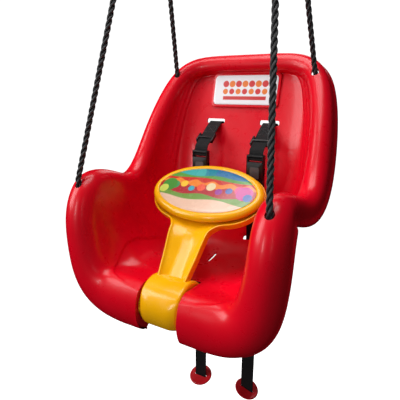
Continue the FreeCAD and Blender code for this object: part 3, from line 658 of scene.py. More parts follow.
# ---- seat shell -----------------------------------------------------------------------------
def natural_spline(places, rows):
    """A natural cubic spline through rows of numbers, as a function of place."""
    places, rows = np.array(places, float), np.array(rows, float)
    gaps = np.diff(places)
    count = len(places)
    system, target = np.eye(count), np.zeros_like(rows)
    for i in range(1, count - 1):
        system[i, i - 1:i + 2] = gaps[i - 1], 2 * (gaps[i - 1] + gaps[i]), gaps[i]
        target[i] = 6 * ((rows[i + 1] - rows[i]) / gaps[i] - (rows[i] - rows[i - 1]) / gaps[i - 1])
    bends = np.linalg.solve(system, target)

    def value(place):
        i = int(np.clip(np.searchsorted(places, place, side="left") - 1, 0, count - 2))
        ahead, behind, gap = places[i + 1] - place, place - places[i], gaps[i]
        return ((bends[i] * ahead ** 3 + bends[i + 1] * behind ** 3) / (6 * gap)
                + (rows[i] / gap - bends[i] * gap / 6) * ahead
                + (rows[i + 1] / gap - bends[i + 1] * gap / 6) * behind)

    return value


def floor_line():
    return natural_spline(FLOOR_START + measured(FLOOR), FLOOR)


def rim_line():
    def other_side(row):
        return (-row[0],) + row[1:7] + (-row[7],) + row[8:]

    rows = [other_side(r) for r in RIM[3:0:-1]] + list(RIM) + [other_side(r) for r in RIM[-2:-5:-1]]
    return natural_spline(np.arange(len(rows)) - 3.0, rows)


FLOOR_AT = floor_line()
RIM_AT = rim_line()


def on_floor(x, place):
    y, z = FLOOR_AT(place)
    return np.array((x, y, z))


def section(rim_place):
    """Points from the seat's centre line out over the rolled rim to the skirt's edge."""
    x, y, z, half, bulge, skirt, lean, foot_x, foot_at, start_at = RIM_AT(rim_place)
    crest = np.array((x, y, z))
    along = unit(RIM_AT(rim_place + 0.001)[:3] - RIM_AT(rim_place - 0.001)[:3])
    facing = np.array((0.0, -1.0, lean))
    facing = unit(facing - along * facing.dot(along))
    outward = np.cross(along, facing)
    inner = crest - facing * bulge - outward * half
    start, foot = on_floor(0.0, start_at), on_floor(foot_x, foot_at)
    wall_top = inner - facing * min(0.3 * np.linalg.norm(inner - foot), 26.0)
    guide = np.array([start, start + (foot - start) * 0.75, foot, (foot + wall_top) / 2, wall_top, inner])
    shares = np.arange(SECTION_STEPS + 1) / SECTION_STEPS
    weights = [math.comb(5, k) * shares ** k * (1 - shares) ** (5 - k) for k in range(6)]
    points = list(np.array(weights).T @ guide)
    for i in range(1, ROLL_STEPS + 1):
        turn = math.pi * i / ROLL_STEPS
        points.append(crest - facing * bulge * (1 - math.sin(turn)) - outward * half * math.cos(turn))
    edge = points[-1]
    for i in range(1, SKIRT_STEPS + 1):
        points.append(edge + (outward * SKIRT_FLARE - facing) * (skirt * i / SKIRT_STEPS))
    return np.array(points)


def cross_unit(a, b):
    normal = np.cross(a, b)
    return normal / np.linalg.norm(normal, axis=-1, keepdims=True)


def seat_poles():
    """Control points of the seat's face and of the underside one wall below it."""
    face = np.array([section((len(RIM) - 1) * i / RIM_SECTIONS) for i in range(RIM_SECTIONS + 1)])
    face[0, :, 0] = 0.0
    face[-1, :, 0] = 0.0
    last = len(face) - 1
    normals = np.zeros_like(face)
    for i in range(last + 1):
        a = face[min(i + 1, last)] - face[max(i - 1, 0)]
        for j in range(face.shape[1]):
            b = face[i, min(j + 1, face.shape[1] - 1)] - face[i, max(j - 1, 0)]
            normal = np.cross(a[j], b)
            if j == 0:
                normal = -np.cross(X, face[min(i + 2, last), 0] - face[max(i - 2, 0), 0])
            if i in (0, last):
                normal[0] = 0.0
            normals[i, j] = unit(normal)
    return face, face + normals * WALL


def spline_weights(count, places):
    """Weights of a clamped cubic spline's control points at some places along it."""
    spans = count - 3
    knots = np.array([0.0] * 3 + list(range(spans + 1)) + [float(spans)] * 3)
    places = np.minimum(np.asarray(places, float), spans - 1e-9)[:, None]
    weights = ((places >= knots[:-1]) & (places < knots[1:])).astype(float)
    for degree in (1, 2, 3):
        low, high = knots[:-degree - 1], knots[degree + 1:]
        rise = knots[degree:-1] - low
        fall = high - knots[1:-degree]
        up = np.where(rise > 0, (places - low) / np.where(rise > 0, rise, 1), 0)
        down = np.where(fall > 0, (high - places) / np.where(fall > 0, fall, 1), 0)
        weights = up * weights[:, :-1] + down * weights[:, 1:]
    return weights


def outline_depth(outline, a, b):
    """Signed distance inside a closed outline that is mirrored about a = 0."""
    loop = np.array(list(outline) + [(-p, q) for p, q in outline[::-1]], float)
    spots = np.stack([a, b], -1)[..., None, :]
    starts, ends = loop, np.roll(loop, -1, axis=0)
    way = ends - starts
    length = np.maximum((way ** 2).sum(-1), 1e-9)
    share = np.clip(((spots - starts) * way).sum(-1) / length, 0, 1)
    distance = np.linalg.norm(spots - starts - way * share[..., None], axis=-1).min(-1)
    rising = (starts[:, 1] > spots[..., 1]) != (ends[:, 1] > spots[..., 1])
    slope = np.where(np.abs(way[:, 1]) > 1e-9, way[:, 1], 1e-9)
    crossing = spots[..., 0] < starts[:, 0] + (spots[..., 1] - starts[:, 1]) / slope * way[:, 0]
    inside = (rising & crossing).sum(-1) % 2 == 1
    return np.where(inside, distance, -distance)


def label_field():
    """Middle of the label's place, the direction up the back and the direction out of it."""
    middle = on_floor(0.0, LABEL_AT)
    up = unit(on_floor(0.0, LABEL_AT + 1.0) - middle)
    return middle, up, np.cross(X, up)


def relief(points):
    """How deep the moulded panels lie below the plain seat at each point."""
    x, y, z = points[..., 0], points[..., 1], points[..., 2]
    on_back = (y > 200) & (z > -75)
    depth = np.zeros_like(x)
    inside = outline_depth(BACK_PANEL, x, z)
    fade = smooth_step(-58, -15, z)
    depth += np.where(on_back, BACK_DEPTH * smooth_step(-2.4, 2.4, inside) * fade, 0)
    ridge = np.exp(-((inside + RIDGE_OUT) / RIDGE_WIDTH) ** 2)
    ridge = ridge * smooth_step(-10, 40, z) * smooth_step(190, 165, z)
    depth -= np.where(on_back & (np.abs(x) > 60), ridge, 0)
    on_pan = (z < -90) & (y < 215)
    inside = outline_depth(PAN_PANEL, x, y)
    fade = smooth_step(190, 120, y)
    depth += np.where(on_pan, PAN_DEPTH * smooth_step(-2.0, 2.0, inside) * fade, 0)
    return depth


def seat_sheets():
    """Fine grids of the seat's face and underside, with the moulded panels."""
    face, under = seat_poles()
    rows = np.linspace(0, len(face) - 4, SHEET_ROWS)
    columns = [np.arange(0, 12, 1 / 8), np.arange(12, 20, 1 / 5), np.arange(20, 21.5, 1 / 3),
               (21.5, 21.68, 21.8, 21.88, 21.94, 22.0)]
    columns = np.concatenate(columns)
    weights = spline_weights(len(face), rows), spline_weights(face.shape[1], columns)
    face, under = (np.einsum("ai,ijc,bj->abc", weights[0], g, weights[1]) for g in (face, under))
    down = under - face
    down /= np.linalg.norm(down, axis=-1, keepdims=True)
    depth = relief(face)
    depth -= FLANGE * smooth_step(21.6, 21.95, columns)
    face, under = face + down * depth[..., None], under + down * depth[..., None]
    for grid in (face, under):
        grid[0, :, 0] = 0.0
        grid[-1, :, 0] = 0.0
        grid[:, 0, 0] = 0.0
    return face, under


def field_plate(name, half_a, half_b, corner, rings):
    """A rounded plate on the label's field; each ring is (inset from its edge, height over the back)."""
    middle, up, front = label_field()
    points, marks = [], []
    outline = round_rectangle(0, 0, half_a, half_b, corner, 8)
    for inset, height in rings:
        for a, b in outline:
            a, b = a * (1 - inset / half_a), b * (1 - inset / half_b)
            points.append(middle + X * a + up * b + front * height)
            marks.append((a * MM, b * MM))
    faces = grid_faces(len(rings), len(outline), wrap_columns=True)
    faces.append(tuple(range((len(rings) - 1) * len(outline), len(rings) * len(outline))))
    faces.append(tuple(range(len(outline)))[::-1])
    return mesh_object(name, points, faces, 50.0, marks, "print")


def label_pad():
    rings = ((0.0, -2.5), (0.0, 1.0), (0.25, 1.7), (0.8, 2.1), (1.6, PAD_PROUD))
    return field_plate("pad", LABEL[0] / 2 + 5, LABEL[1] / 2 + 5, 9.0, rings)


def cutter(name, outline, axis, low, high):
    return mesh_object(name, *prism(outline, axis, low, high), sharp=180.0)


def rope_way(hole):
    """Unit vector up a right-hand rope from its hole to the ring's wire."""
    ring = (np.array((RINGS[0] + RINGS[1]) / 2) - np.array(DATUM)) / MM
    ring[2] = (RINGS[0].z - DATUM.z) / MM + RING_WIRE / 2
    return unit(ring - hole)


def seat_cutters():
    """Everything that is cut through the bucket: notch, slots and rope holes."""
    low, high = PIVOT[2] - 70, PIVOT[2] + 70
    notch = [(-60, low), (PIVOT[1], low), (PIVOT[1], high), (-60, high)]
    barrel = [spot[1:] for spot in circle(PIVOT, Y, Z, KNUCKLE_RADIUS + KNUCKLE_GAP, 96)]
    cutters = [cutter("cut_notch", notch, 0, -NOTCH_HALF, NOTCH_HALF),
               cutter("cut_barrel", barrel, 0, -NOTCH_HALF - 0.01, NOTCH_HALF + 0.01)]
    cutters.append(cutter("cut_slit", round_rectangle(*SLIT), 2, -185, -140))
    for name, side in SIDES:
        x = side * STRAP_X
        slot = round_rectangle(x, SHOULDER_SLOT_Z, SLOT_HALF, SHOULDER_SLOT_RISE, SLOT_CORNER)
        cutters.append(cutter("cut_shoulder_" + name, slot, 1, 262, 312))
        slot = round_rectangle(x, STRAP_Y, SLOT_HALF, HIP_SLOT_RISE, SLOT_CORNER)
        cutters.append(cutter("cut_hip_" + name, slot, 2, -190, -110))
        for which, hole, knot in ROPE_ENDS:
            path = np.array([hole + knot * 0.9, hole, hole + rope_way(hole) * 20]) * (side, 1, 1)
            cutters.append(capped_tube("cut_rope_" + which + name, path, ROPE_HOLE / 2))
    return cutters


def hinge_cheek(side):
    """The web in the lip that carries one end of the hinge pin."""
    pivot = np.array(PIVOT)
    outline = []
    for point in section(CHEEK_PLACE)[SECTION_STEPS - 1:SECTION_STEPS + ROLL_STEPS + 1]:
        inward = unit((0, pivot[1] - point[1], pivot[2] - point[2]))
        outline.append((point[1] + inward[1] * WALL * 0.6, point[2] + inward[2] * WALL * 0.6))
    outline.append((PIVOT[1] + 18, PIVOT[2] - 22))
    outline.append((PIVOT[1] + 40, on_floor(0, PIVOT[1] + 40)[2] - WALL * 0.6))
    low, high = sorted((side * NOTCH_HALF, side * (NOTCH_HALF + CHEEK_THICK)))
    return mesh_object("cheek", *prism(outline, 0, low, high))


def build_seat():
    face, under = seat_sheets()
    rounds = []
    middle = (face[:, -1] + under[:, -1]) / 2
    across = (under[:, -1] - face[:, -1]) / 2
    onward = cross_unit(np.cross(face[:, -1] - face[:, -2], across), -across)
    onward *= np.sign((onward * (face[:, -1] - face[:, -2])).sum(-1, keepdims=True))
    for angle in (45, 90, 135):
        turn = math.radians(angle)
        rounds.append(middle - across * math.cos(turn) + onward * (WALL / 2 * math.sin(turn)))
    band = np.concatenate([face, np.stack(rounds, 1), under[:, ::-1]], axis=1)
    band[0, :, 0] = 0.0
    band[-1, :, 0] = 0.0
    rows, columns = band.shape[:2]
    flat = band.reshape(-1, 3)
    faces = grid_faces(rows, columns)
    mirrored = [tuple(i + len(flat) for i in f[::-1]) for f in faces]
    shell = mesh_object("seat_bucket", np.concatenate([flat, flat * (-1, 1, 1)]), faces + mirrored)
    cut(shell, seat_cutters())
    shell = joined([shell, hinge_cheek(-1), hinge_cheek(1), label_pad()], "seat_bucket")
    tidy_mesh(shell, 38.0)
    return place(shell, "seat", RED, "red_shell", ["seat_shell"])


# ---- ropes, knots and hanger rings ----------------------------------------------------------
ROPE_CLEAR = 0.5              # gap between the rope and the ring's wire
SWING_AXIS = -np.array(DATUM) / MM            # a point on the swing axis
WIRE = np.array((RING_SPREAD, SWING_AXIS[1], SWING_AXIS[2]))


def ring_turn():
    """Where the right rope's runs meet its turn over the ring's wire, and their directions up."""
    turn = (RING_WIRE + ROPE) / 2 + ROPE_CLEAR
    normal = unit(np.cross(FRONT_HOLE - WIRE, REAR_HOLE - WIRE))
    runs = []
    for hole, sense in ((FRONT_HOLE, -1), (REAR_HOLE, 1)):
        way = hole - WIRE
        share = turn / np.linalg.norm(way)
        across = np.cross(normal, unit(way)) * sense
        spot = WIRE + unit(way) * turn * share + across * turn * math.sqrt(1 - share ** 2)
        runs.append((spot, unit(spot - hole)))
    return runs, turn


def rope_route():
    """The right rope's route: front knot, front hole, two points over the ring, rear hole, knot."""
    runs, turn = ring_turn()
    (front, front_up), (rear, rear_up) = runs
    wrap = math.pi - math.acos(front_up.dot(rear_up))
    reach = turn * math.tan(wrap / 4)
    corners = front + front_up * reach, rear + rear_up * reach
    near = np.linalg.norm(corners[0] - corners[1])
    legs = []
    for hole, knot, corner in ((FRONT_HOLE, FRONT_KNOT, corners[0]), (REAR_HOLE, REAR_KNOT, corners[1])):
        drop = np.linalg.norm(knot) - KNOT_HEIGHT / 2 + 1.2      # ends just inside the knot
        up = unit(corner - hole)
        legs.append([hole + unit(knot) * drop, hole, hole + up * drop, corner - up * 6 * ROPE,
                     corner - up * near, corner])
    return legs[0] + legs[1][::-1]


def route_line(name, route):
    """The smooth line of a route: its points are the control points of a NURBS curve."""
    curve = bpy.data.curves.new(name, "CURVE")
    curve.dimensions = "3D"
    curve.resolution_u = 48
    spline = curve.splines.new("NURBS")
    spline.points.add(len(route) - 1)
    for spot, point in zip(spline.points, route):
        spot.co = (*seat(point), 1.0)
    spline.order_u = 3
    spline.use_endpoint_u = True
    holder = link(bpy.data.objects.new(name, curve))
    mesh = bpy.data.meshes.new_from_object(holder)
    line = (np.array([v.co for v in mesh.vertices]) - np.array(DATUM)) / MM
    bpy.data.objects.remove(holder)
    bpy.data.meshes.remove(mesh)
    return line


def even_steps(line, step):
    """Points at even steps along a line."""
    places = measured(line)
    count = max(int(places[-1] / step), 2)
    wanted = np.linspace(0, places[-1], count + 1)
    return np.stack([np.interp(wanted, places, line[:, k]) for k in range(3)], 1), wanted


def twisted_rope(name, line, diameter, lay, step=1.6, sides=12):
    """Three strands laid round each other along a line."""
    path, places = even_steps(line, step)
    normals, across = path_frames(path)
    points, faces, marks = [], [], []
    for strand in range(3):
        turn = 2 * math.pi * (strand / 3 + places / lay)
        away = normals * np.cos(turn)[:, None] + across * np.sin(turn)[:, None]
        centre = path + away * diameter * STRAND_OUT
        first = len(points)
        for spot, one, other, along in zip(centre, *path_frames(centre), places):
            ring = circle(spot, one, other, diameter * STRAND_RADIUS, sides)
            points += ring + ring[:1]
            marks += [(k / sides, along * MM) for k in range(sides + 1)]
        faces += capped_faces(len(centre), sides + 1, first, seam=True)
    return mesh_object(name, points, faces, 180.0, marks, "yarn")


def build_ring(name, side):
    """A hanger ring of round wire with the bead of its weld at the top."""
    points = []
    around, sides = 96, 20
    for turn in turns(around):
        off = min(abs(turn - math.pi / 2), 0.4)
        wire = RING_WIRE / 2 + 0.55 * math.exp(-(off / 0.085) ** 2) * (1 + 0.2 * math.sin(turn * 90))
        out = X * math.cos(turn) + Z * math.sin(turn)
        centre = WIRE * (side, 1, 1) + (0, 0, RING_RADIUS) + out * RING_RADIUS
        points += circle(centre, out, Y, wire, sides)
    ring = mesh_object("welded_ring_" + name, points, grid_faces(around, sides, True, True), 60.0)
    return place(ring, "hanger", WELDED, "ring_steel", ["hanger_ring_" + name])


def knot_line(hole, offset):
    """A stopper knot's wrap round its own axis, from the hole's side down to its tail."""
    up = -unit(offset)
    right = unit(np.cross(Y, up))
    ahead = np.cross(up, right)
    points = []
    for t in np.linspace(0, 1, 90):
        wide = 5.7 * smooth_step(0, 0.1, t) * (1 - smooth_step(0.8, 0.93, t))
        height = np.interp(t, (0, 0.1, 0.82, 1), (8.4, 4.6, -4.8, -17.5))
        turn = 2 * math.pi * 2.3 * t
        away = right * math.cos(turn) + ahead * math.sin(turn)
        points.append(hole + offset + up * height + away * wide)
    return np.array(points)


def build_ropes():
    route = np.array(rope_route())
    for name, side in SIDES:
        flip = np.array((side, 1, 1))
        build_ring(name, side)
        for which, hole, offset in ROPE_ENDS:
            line = knot_line(hole, offset) * flip
            knot = twisted_rope("stopper_knot_%s_%s" % (which, name), line, KNOT_ROPE, KNOT_LAY, 1.0, 10)
            place(knot, "seat", YARN, "black_rope", ["rope_knot_%s_%s" % (which, name)])
        line = route_line("route_" + name, route * flip)
        rope = twisted_rope("twisted_rope_" + name, line, ROPE, ROPE_LAY)
        place(rope, "seat", YARN, "black_rope", ["rope_" + name])


# ---- webbing, buckles and discs -------------------------------------------------------------
WEB = 1.6                     # thickness of the webbing
# The upper half of the webbing's section: place across, and height in thicknesses.
WEB_SECTION = ((-14, 0.0), (-13.85, 0.32), (-13.4, 0.5), (-12.2, 0.5), (-11.4, 0.4), (-6, 0.4),
               (0, 0.4))
SHOULDER_LINE = ((305.5, 44.5), (305.5, 64), (304, 73), (299.5, 79.5), (292, 82.4), (284, 80.6),
                 (230.1, 42.9), (226, 40), (224, 35.5), (223, 30), (223, 24.6))
SOCKET_BAR = 22.0
TONGUE_BAR = -28.5
HIP_DISC_Z = {-1: -500.0, 1: -488.0}
HIP_DISC_TILT = {-1: (19.0, 0.0), 1: (6.0, 18.0)}
SHOULDER_DISC = (305.5, 52.0)
SHOULDER_DISC_TILT = 30.0
HIP_TAIL = 7.5                # how far the hip webbing reaches below its disc's middle
# Half of a disc's section: radius and height; and its slot: half sizes and corner.
DISC_PROFILE = ((20.8, 1.0), (21.8, 1.15), (22.6, 1.45), (24.2, 1.5), (25.3, 1.2), (25.9, 0.5))
DISC_SLOT = (14.5, 3.0, 1.5)
GRIP_RIBS = 4
GRIP_PITCH = 2.6
STITCH_LIFT = 0.85            # a stitch's middle over the webbing's middle
STITCH_PITCH = 3.4
STITCH_SHARE = 0.7            # how much of the pitch each stitch covers
THREAD_RADIUS = 0.32


def softened(line, passes=3):
    """A line with its corners cut off a few times over."""
    line = [np.array(p, float) for p in line]
    for _ in range(passes):
        middle = []
        for a, b in zip(line, line[1:]):
            middle += [a * 0.75 + b * 0.25, a * 0.25 + b * 0.75]
        line = [line[0]] + middle + [line[-1]]
    return line


def webbing(name, line, x_centre, thick=WEB):
    """Flat webbing along a line of (y, z) points, with rounded woven edges."""
    top = list(WEB_SECTION) + [(-u, h) for u, h in WEB_SECTION[-2::-1]]
    loop = top + [(u, -h) for u, h in top[-2:0:-1]] + [top[0]]
    points, marks = [], []
    for spot, way, along in zip(line, directions(line), measured(line)):
        for u, height in loop:
            rise = height * thick
            points.append((x_centre + u, spot[0] - way[1] * rise, spot[1] + way[0] * rise))
            marks.append((u * MM, along * MM))
    faces = capped_faces(len(line), len(loop), seam=True)
    return mesh_object(name, points, faces, 60.0, marks, "weave")


def folded_end(y, top):
    """The last of a strap's line, folded up on itself at the bottom."""
    return [(y, top - 2.5), (y + 1.6, top - 5.5), (y + 3.2, top - 2.5), (y + 3.2, top - 0.5)]


def fold_layer(y, top, x_centre):
    """The other layer of a strap's sewn fold."""
    line = [(y - 1.7, top - 0.7), (y - 1.7, top - 3.5), (y - 3.2, top - 5.1), (y - 4.0, top - 2.5),
            (y - 4.0, top - 0.5)]
    return webbing("fold", softened(line, 2), x_centre, 1.2)


def fold_stitches(x, y, top):
    rows = []
    for drop in (1.7, 3.7):
        for face in (-4.7, 4.1):
            rows += dashed((x - 11, y + face, top - drop), (x + 11, y + face, top - drop))
    return rows


def bar_loop(z, x_centre):
    """The webbing's loop round a buckle's bar."""
    ring = []
    for k in range(33):
        turn = 2 * math.pi * k / 32
        cos, sin = math.cos(turn), math.sin(turn)
        ring.append((STRAP_Y + 3.05 * math.copysign(abs(cos) ** 0.6, cos),
                     z + 2.55 * math.copysign(abs(sin) ** 0.6, sin)))
    return webbing("loop", ring, x_centre, 1.5)


def stitches(name, dashes):
    """Short raised lengths of thread, each from one point to another."""
    points, faces = [], []
    levels = ((0.0, 0.35), (0.2, 1.0), (0.8, 1.0), (1.0, 0.35))
    for start, end in dashes:
        first = len(points)
        way = unit(end - start)
        normal = unit(np.cross(way, (0.2, 0.5, 0.83)))
        across = np.cross(way, normal)
        for share, size in levels:
            points += circle(start + (end - start) * share, normal, across, THREAD_RADIUS * size, 6)
        faces += capped_faces(len(levels), 6, first)
    return mesh_object(name, points, faces, 60.0)


def dashed(start, end):
    """The two ends of each stitch in a row from one point to another."""
    start, end = np.array(start, float), np.array(end, float)
    count = max(int(np.linalg.norm(end - start) / STITCH_PITCH), 1)
    return [(start + (end - start) * (i / count), start + (end - start) * ((i + STITCH_SHARE) / count))
            for i in range(count)]


def box_stitch(x, low, high):
    """A sewn rectangle with its diagonals; low and high are (y, z) points on the webbing."""
    way = unit((0, high[0] - low[0], high[1] - low[1]))
    out = np.cross(way, X)
    if out[1] > 0:
        out = -out
    spots = [np.array((x + u, y, z)) for y, z in (low, high) for u in (-10.5, 10.5)]
    pairs = ((0, 1), (2, 3), (0, 2), (1, 3), (0, 3), (1, 2))
    rows = []
    for sign in (1, -1):
        for a, b in pairs:
            lift = out * STITCH_LIFT * sign
            rows += dashed(spots[a] + lift, spots[b] + lift)
    return rows


def slotted_disc(name, tilt_x, tilt_y, centre):
    """A round retainer with a raised rim and a slot for the webbing."""
    profile = DISC_PROFILE + tuple((r, -h) for r, h in DISC_PROFILE[::-1])
    points, around = [], 96
    for r, h in profile:
        points += circle((0, 0, h), X, Y, r, around)
    disc = mesh_object(name, points, capped_faces(len(profile), around))
    cut(disc, [mesh_object("slot", *prism(round_rectangle(0, 0, *DISC_SLOT), 2, -5, 5))])
    turned = (Matrix.Translation(seat(centre)) @ Matrix.Rotation(math.radians(tilt_y), 4, "Y")
              @ Matrix.Rotation(math.radians(tilt_x), 4, "X") @ Matrix.Translation(-DATUM))
    disc.data.transform(turned)
    tidy_mesh(disc)
    return disc


def face_plate(x, y, low, high, half, name):
    """The raised panel with finger ribs on a buckle's face, on the side towards -Y."""
    outline = round_rectangle(x, (low + high) / 2, half, (high - low) / 2, 3.0)
    objects = [mesh_object(name, *prism(outline, 1, y - 0.7, y + 0.2))]
    for i in range(GRIP_RIBS):
        z = low + 4 + i * GRIP_PITCH
        rib = round_rectangle(x, z, half - 3, 0.6, 0.55)
        objects.append(mesh_object(name, *prism(rib, 1, y - 1.2, y - 0.6)))
    return joined(objects, name)


def build_harness():
    for name, side in SIDES:
        x = side * STRAP_X
        belt = "hip_strap_" + name
        tail = SHOULDER_LINE[0]
        line = folded_end(*tail)[::-1] + list(SHOULDER_LINE[1:])
        pieces = [webbing("run", softened(line), x), fold_layer(*tail, x), bar_loop(SOCKET_BAR, x)]
        strap = joined(pieces, "shoulder_webbing_" + name)
        place(strap, "seat", WEBBING, "webbing", ["shoulder_strap_" + name])
        rows = box_stitch(x, (258, 62.4), (273, 72.9)) + fold_stitches(x, *tail)
        place(stitches("shoulder_stitching_" + name, rows), "seat", THREAD, "webbing")

        end = HIP_DISC_Z[side] - HIP_TAIL
        line = [(STRAP_Y, z) for z in (TONGUE_BAR - 3.0, -60.0, -200.0, -340.0, -470.0)]
        line += softened([(STRAP_Y, -480.0)] + folded_end(STRAP_Y, end), 2)
        pieces = [webbing("run", line, x), fold_layer(STRAP_Y, end, x), bar_loop(TONGUE_BAR, x)]
        place(joined(pieces, "hip_webbing_" + name), belt, WEBBING, "webbing", ["hip_strap_" + name])
        rows = box_stitch(x, (STRAP_Y, -58), (STRAP_Y, -40)) + fold_stitches(x, STRAP_Y, end)
        place(stitches("hip_stitching_" + name, rows), belt, THREAD, "webbing")

        centre = (x, STRAP_Y, HIP_DISC_Z[side])
        hung = slotted_disc("hip_retainer_" + name, *HIP_DISC_TILT[side], centre)
        place(hung, belt, DISC_RED, "red_disc", ["hip_strap_disc_" + name])
        flat = slotted_disc("shoulder_retainer_" + name, SHOULDER_DISC_TILT, 0, (x, *SHOULDER_DISC))
        place(flat, "seat", DISC_RED, "red_disc", ["shoulder_strap_disc_" + name])

        for part, body, bevel in (("buckle_socket", "seat", 1.0), ("buckle_tongue", belt, 0.7),
                                  ("strap_adjuster", "adjuster_" + name, 0.7)):
            node = "%s_%s" % (part, name)
            moulded = cad_copy(node, part + "_moulded_" + name, bevel)
            place(moulded, body, BLACK, "buckle_plastic", [node])
        # The plate's grey is painted highlight on the black buckle.
        plate = face_plate(x, STRAP_Y - 6.0, -14.0, 8.0, 9.0, "buckle_grip_" + name)
        place(plate, "seat", HIGHLIGHT_GREY, "buckle_plastic")


# ---- T-bar ----------------------------------------------------------------------------------
TRAY_BASE = (143.9, -36.0)
TRAY_LEAN = math.radians(36.0)
TRAY_HALVES = (107.0, 62.0)
PADDLE_LEAN = math.radians(43.0)
PADDLE_LINE = ((14, -160), (24, -146), (55, -108), (80, -79), (92, -72.5), (103.5, -65.4),
               (143.9, -36), (197, 2.6))
PADDLE_OUTLINE = ((24, -185), (37, -75), (45, -63), (66, -54), (93, -36), (108, 0), (94, 34),
                  (56, 56), (0, 64))
# The raised edge in section from below, as (inset from the outline, height), and the sloping side of
# the trough inside it, as (share of the way from the edge to the flat floor, height).
EDGE_PROFILE = ((5.2, -8.6), (4.6, -9.2), (4.2, -10.6), (3.6, -11.0), (0.6, -11.0), (0.0, -10.4),
                (0.0, 0.9), (0.35, 2.0), (1.2, 2.5), (2.2, 2.5), (3.2, 2.0), (4.0, 0.9))
TROUGH_PROFILE = ((0.06, -0.3), (0.3, -2.2), (0.65, -4.4), (0.92, -5.9), (1.0, -6.1))
TROUGH_HALF = (14.0, 6.0)     # half width of the flat floor at the foot and under the tray
TROUGH_UNDER = -8.4           # height of the underside below that floor
PADDLE_EDGE = 4.0             # width of the raised edge
EDGE_FADE = 13.0              # half width of the T-bar below which its raised edge narrows
AROUND = 144                  # points round the tray's oval
EVEN_INSET = 15.5             # rings this near the tray's edge run parallel to it


def paddle_outline():
    """The T-bar's right half seen from the front, from its foot to its far end."""
    right = [PADDLE_OUTLINE[i] for i in range(1, len(PADDLE_OUTLINE))]
    loop = np.array(right + [(-x, s) for x, s in right[-2::-1]], float)
    places = measured(loop)
    spline = natural_spline(places, loop)
    end = places[len(right) - 1]
    curve = [spline(p) for p in np.linspace(0, end, 90)]
    curve[-1] = np.array((0.0, curve[-1][1]))
    foot = [np.array(PADDLE_OUTLINE[0]) * (1 - t) + curve[0] * t for t in np.linspace(0, 1, 24)[:-1]]
    return np.array(foot + curve)


def on_paddle(heights, across, along):
    """Points of the T-bar from their height over its front and their place seen from the front."""
    places = measured(PADDLE_LINE)
    spline = natural_spline(places, PADDLE_LINE)
    spine = np.array([spline(p) for p in np.linspace(-30, places[-1] + 20, 260)])
    ways = directions(spine)
    fronts = np.stack([-ways[:, 1], ways[:, 0]], 1)
    up = np.array((math.cos(PADDLE_LEAN), math.sin(PADDLE_LEAN)))
    points = []
    for height, x, s in zip(heights, across, along):
        line = spine + fronts * height
        rise = (line - np.array(TRAY_BASE)) @ up
        points.append((x, np.interp(s, rise, line[:, 0]), np.interp(s, rise, line[:, 1])))
    return points


def build_frame():
    outline = paddle_outline()
    ways = directions(outline)
    ways[-1] = (-1.0, 0.0)
    inward = np.stack([-ways[:, 1], ways[:, 0]], 1)
    scale = (outline[:, 0] / EDGE_FADE).clip(0.05, 1.0)
    floor_half = np.interp(outline[:, 1], (-185, -75), TROUGH_HALF)
    reach = (outline[:, 0] - floor_half).clip(4.2, 30.0) * scale
    edge = PADDLE_EDGE * scale
    columns = []

    def column(inset, height, share=1.0):
        spots = outline + inward * inset[:, None]
        columns.append((spots[:, 0].clip(0.0) * share, spots[:, 1], height))

    for share in (0.0, 0.5, 1.0):
        column(reach, TROUGH_UNDER, share)
    for inset, height in EDGE_PROFILE:
        column(np.minimum(inset, reach) * scale, height)
    for share, height in TROUGH_PROFILE:
        column(edge + (reach - edge) * share, height)
    for share in (0.5, 0.0):
        column(reach, TROUGH_PROFILE[-1][1], share)
    rows, wide = len(outline), len(columns)
    across, along = [np.stack([c[k] for c in columns], 1).ravel() for k in (0, 1)]
    points = np.array(on_paddle(np.tile([c[2] for c in columns], rows), across, along))
    faces = grid_faces(rows, wide)
    faces.append(tuple(range(wide)))
    faces += [tuple(i + len(points) for i in f[::-1]) for f in faces]
    frame_piece = mesh_object("tbar_moulding", np.concatenate([points, points * (-1, 1, 1)]), faces, 40.0)
    place(frame_piece, "tbar", YELLOW, "yellow_tbar", ["tbar_frame"])


def on_tray(points):
    """Points drawn on the tray's base plane, set in place on the T-bar."""
    points = np.asarray(points, float)
    up = np.array((0, math.cos(TRAY_LEAN), math.sin(TRAY_LEAN)))
    front = np.array((0, -math.sin(TRAY_LEAN), math.cos(TRAY_LEAN)))
    base = np.array((0, *TRAY_BASE))
    return base + points[:, :1] * (1, 0, 0) + points[:, 1:2] * up + points[:, 2:] * front


def oval_plate(name, profile, marked=False):
    """An oval plate of rings: each profile row is (inset from the edge, height)."""
    a, b = TRAY_HALVES
    points = []
    for inset, height in profile:
        for turn in turns(AROUND):
            edge = np.array((a * math.cos(turn), b * math.sin(turn)))
            out = unit((math.cos(turn) / a, math.sin(turn) / b))
            reach = min(inset, EVEN_INSET)
            spot = edge - out * reach
            if inset > reach:
                spot = spot * (1 - (inset - reach) / (b - reach))
            points.append((*spot, height))
    marks = [(x * MM, y * MM) for x, y, z in points] if marked else None
    faces = grid_faces(len(profile), AROUND, wrap_columns=True)
    return mesh_object(name, on_tray(points), faces, 50.0, marks, "print")


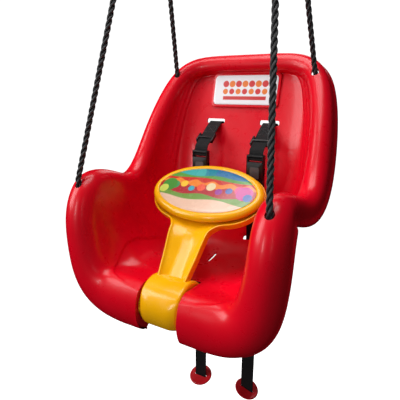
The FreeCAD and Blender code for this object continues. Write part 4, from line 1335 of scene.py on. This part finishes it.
def crown(obj):
    """Rounds the shoulders of the knuckle's barrel in front and below, where it shows."""
    middle = seat(PIVOT)
    with edited(obj.data) as edit:
        for i in range(-11, 12):
            parts = edit.verts[:] + edit.edges[:] + edit.faces[:]
            bmesh.ops.bisect_plane(edit, geom=parts, plane_co=seat((3 * i, 0, 0)), plane_no=(1, 0, 0))
        for vertex in edit.verts:
            out = vertex.co - middle
            past = max(abs(out.x) / MM - FLAT_HALF, 0.0) / (KNUCKLE_HALF - FLAT_HALF)
            out.x = 0.0
            if out.length > 0.9 * KNUCKLE_RADIUS * MM:
                way = out.normalized()
                forward = smooth_step(-0.2, 0.5, -0.6 * way.y - 0.8 * way.z)
                vertex.co -= way * CROWN * forward * past ** 2 * MM
    tidy_mesh(obj, 40.0)


def build_tray():
    middle = TRAY_HALVES[1]
    profile = ((middle, 0), (30, 0), (12, 0), (9, 0.3), (4.5, 1.8), (1.6, 4), (0.25, 6.6), (0, 8),
               (0.4, 10), (1.6, 12.4), (3.6, 14.5), (6.2, 15.8), (9, 16.4), (11, 16.3), (11.6, 15.9),
               (12, 15.4), (12.8, 15.4), (20, 15.6), (40, 16), (middle, 16.1))
    place(oval_plate("tray_rounded", profile), "tbar", YELLOW, "yellow_tbar", ["tbar_tray"])
    profile = ((12.6, 15.5), (12.7, 15.9), (13, 16.05), (20, 16.2), (30, 16.4), (44, 16.6),
               (middle, 16.65))
    decal = oval_plate("tray_decal", profile, marked=True)
    place(decal, "tbar", TRAY_PRINT, "tray_picture", ["tbar_tray_label"])
    knuckle = cad_copy("tbar_knuckle", "knuckle_dome", 0.9)
    crown(knuckle)
    place(knuckle, "tbar", YELLOW, "yellow_tbar", ["tbar_knuckle"])


def build_label():
    """The label on the pad at the top of the back, with softly rounded edges."""
    rings = ((0.0, 0.0), (0.0, 0.35), (0.3, 0.6), (3.0, 0.62), (14.0, 0.62), (28.9, 0.62))
    rings = [(inset, PAD_PROUD + height) for inset, height in rings]
    label = field_plate("back_label_print", LABEL[0] / 2, LABEL[1] / 2, 8.0, rings)
    place(label, "seat", LABEL_PRINT, "label", ["back_label"])


def finish_cad_parts():
    """Materials for the hinge parts and screws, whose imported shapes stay."""
    kept = {"hinge_pin": ZINC, "tbar_screws": ZINC}
    for name in ("left", "right"):
        kept["hinge_bush_" + name] = NYLON
        kept["hinge_pin_cap_" + name] = ZINC
    for node, material in kept.items():
        for entry in frame["nodes"][node].material_slots:
            entry.material = material


build_camera()
build_lights()
build_floor()
build_ropes()
build_seat()
build_label()
build_harness()
build_frame()
build_tray()
finish_cad_parts()
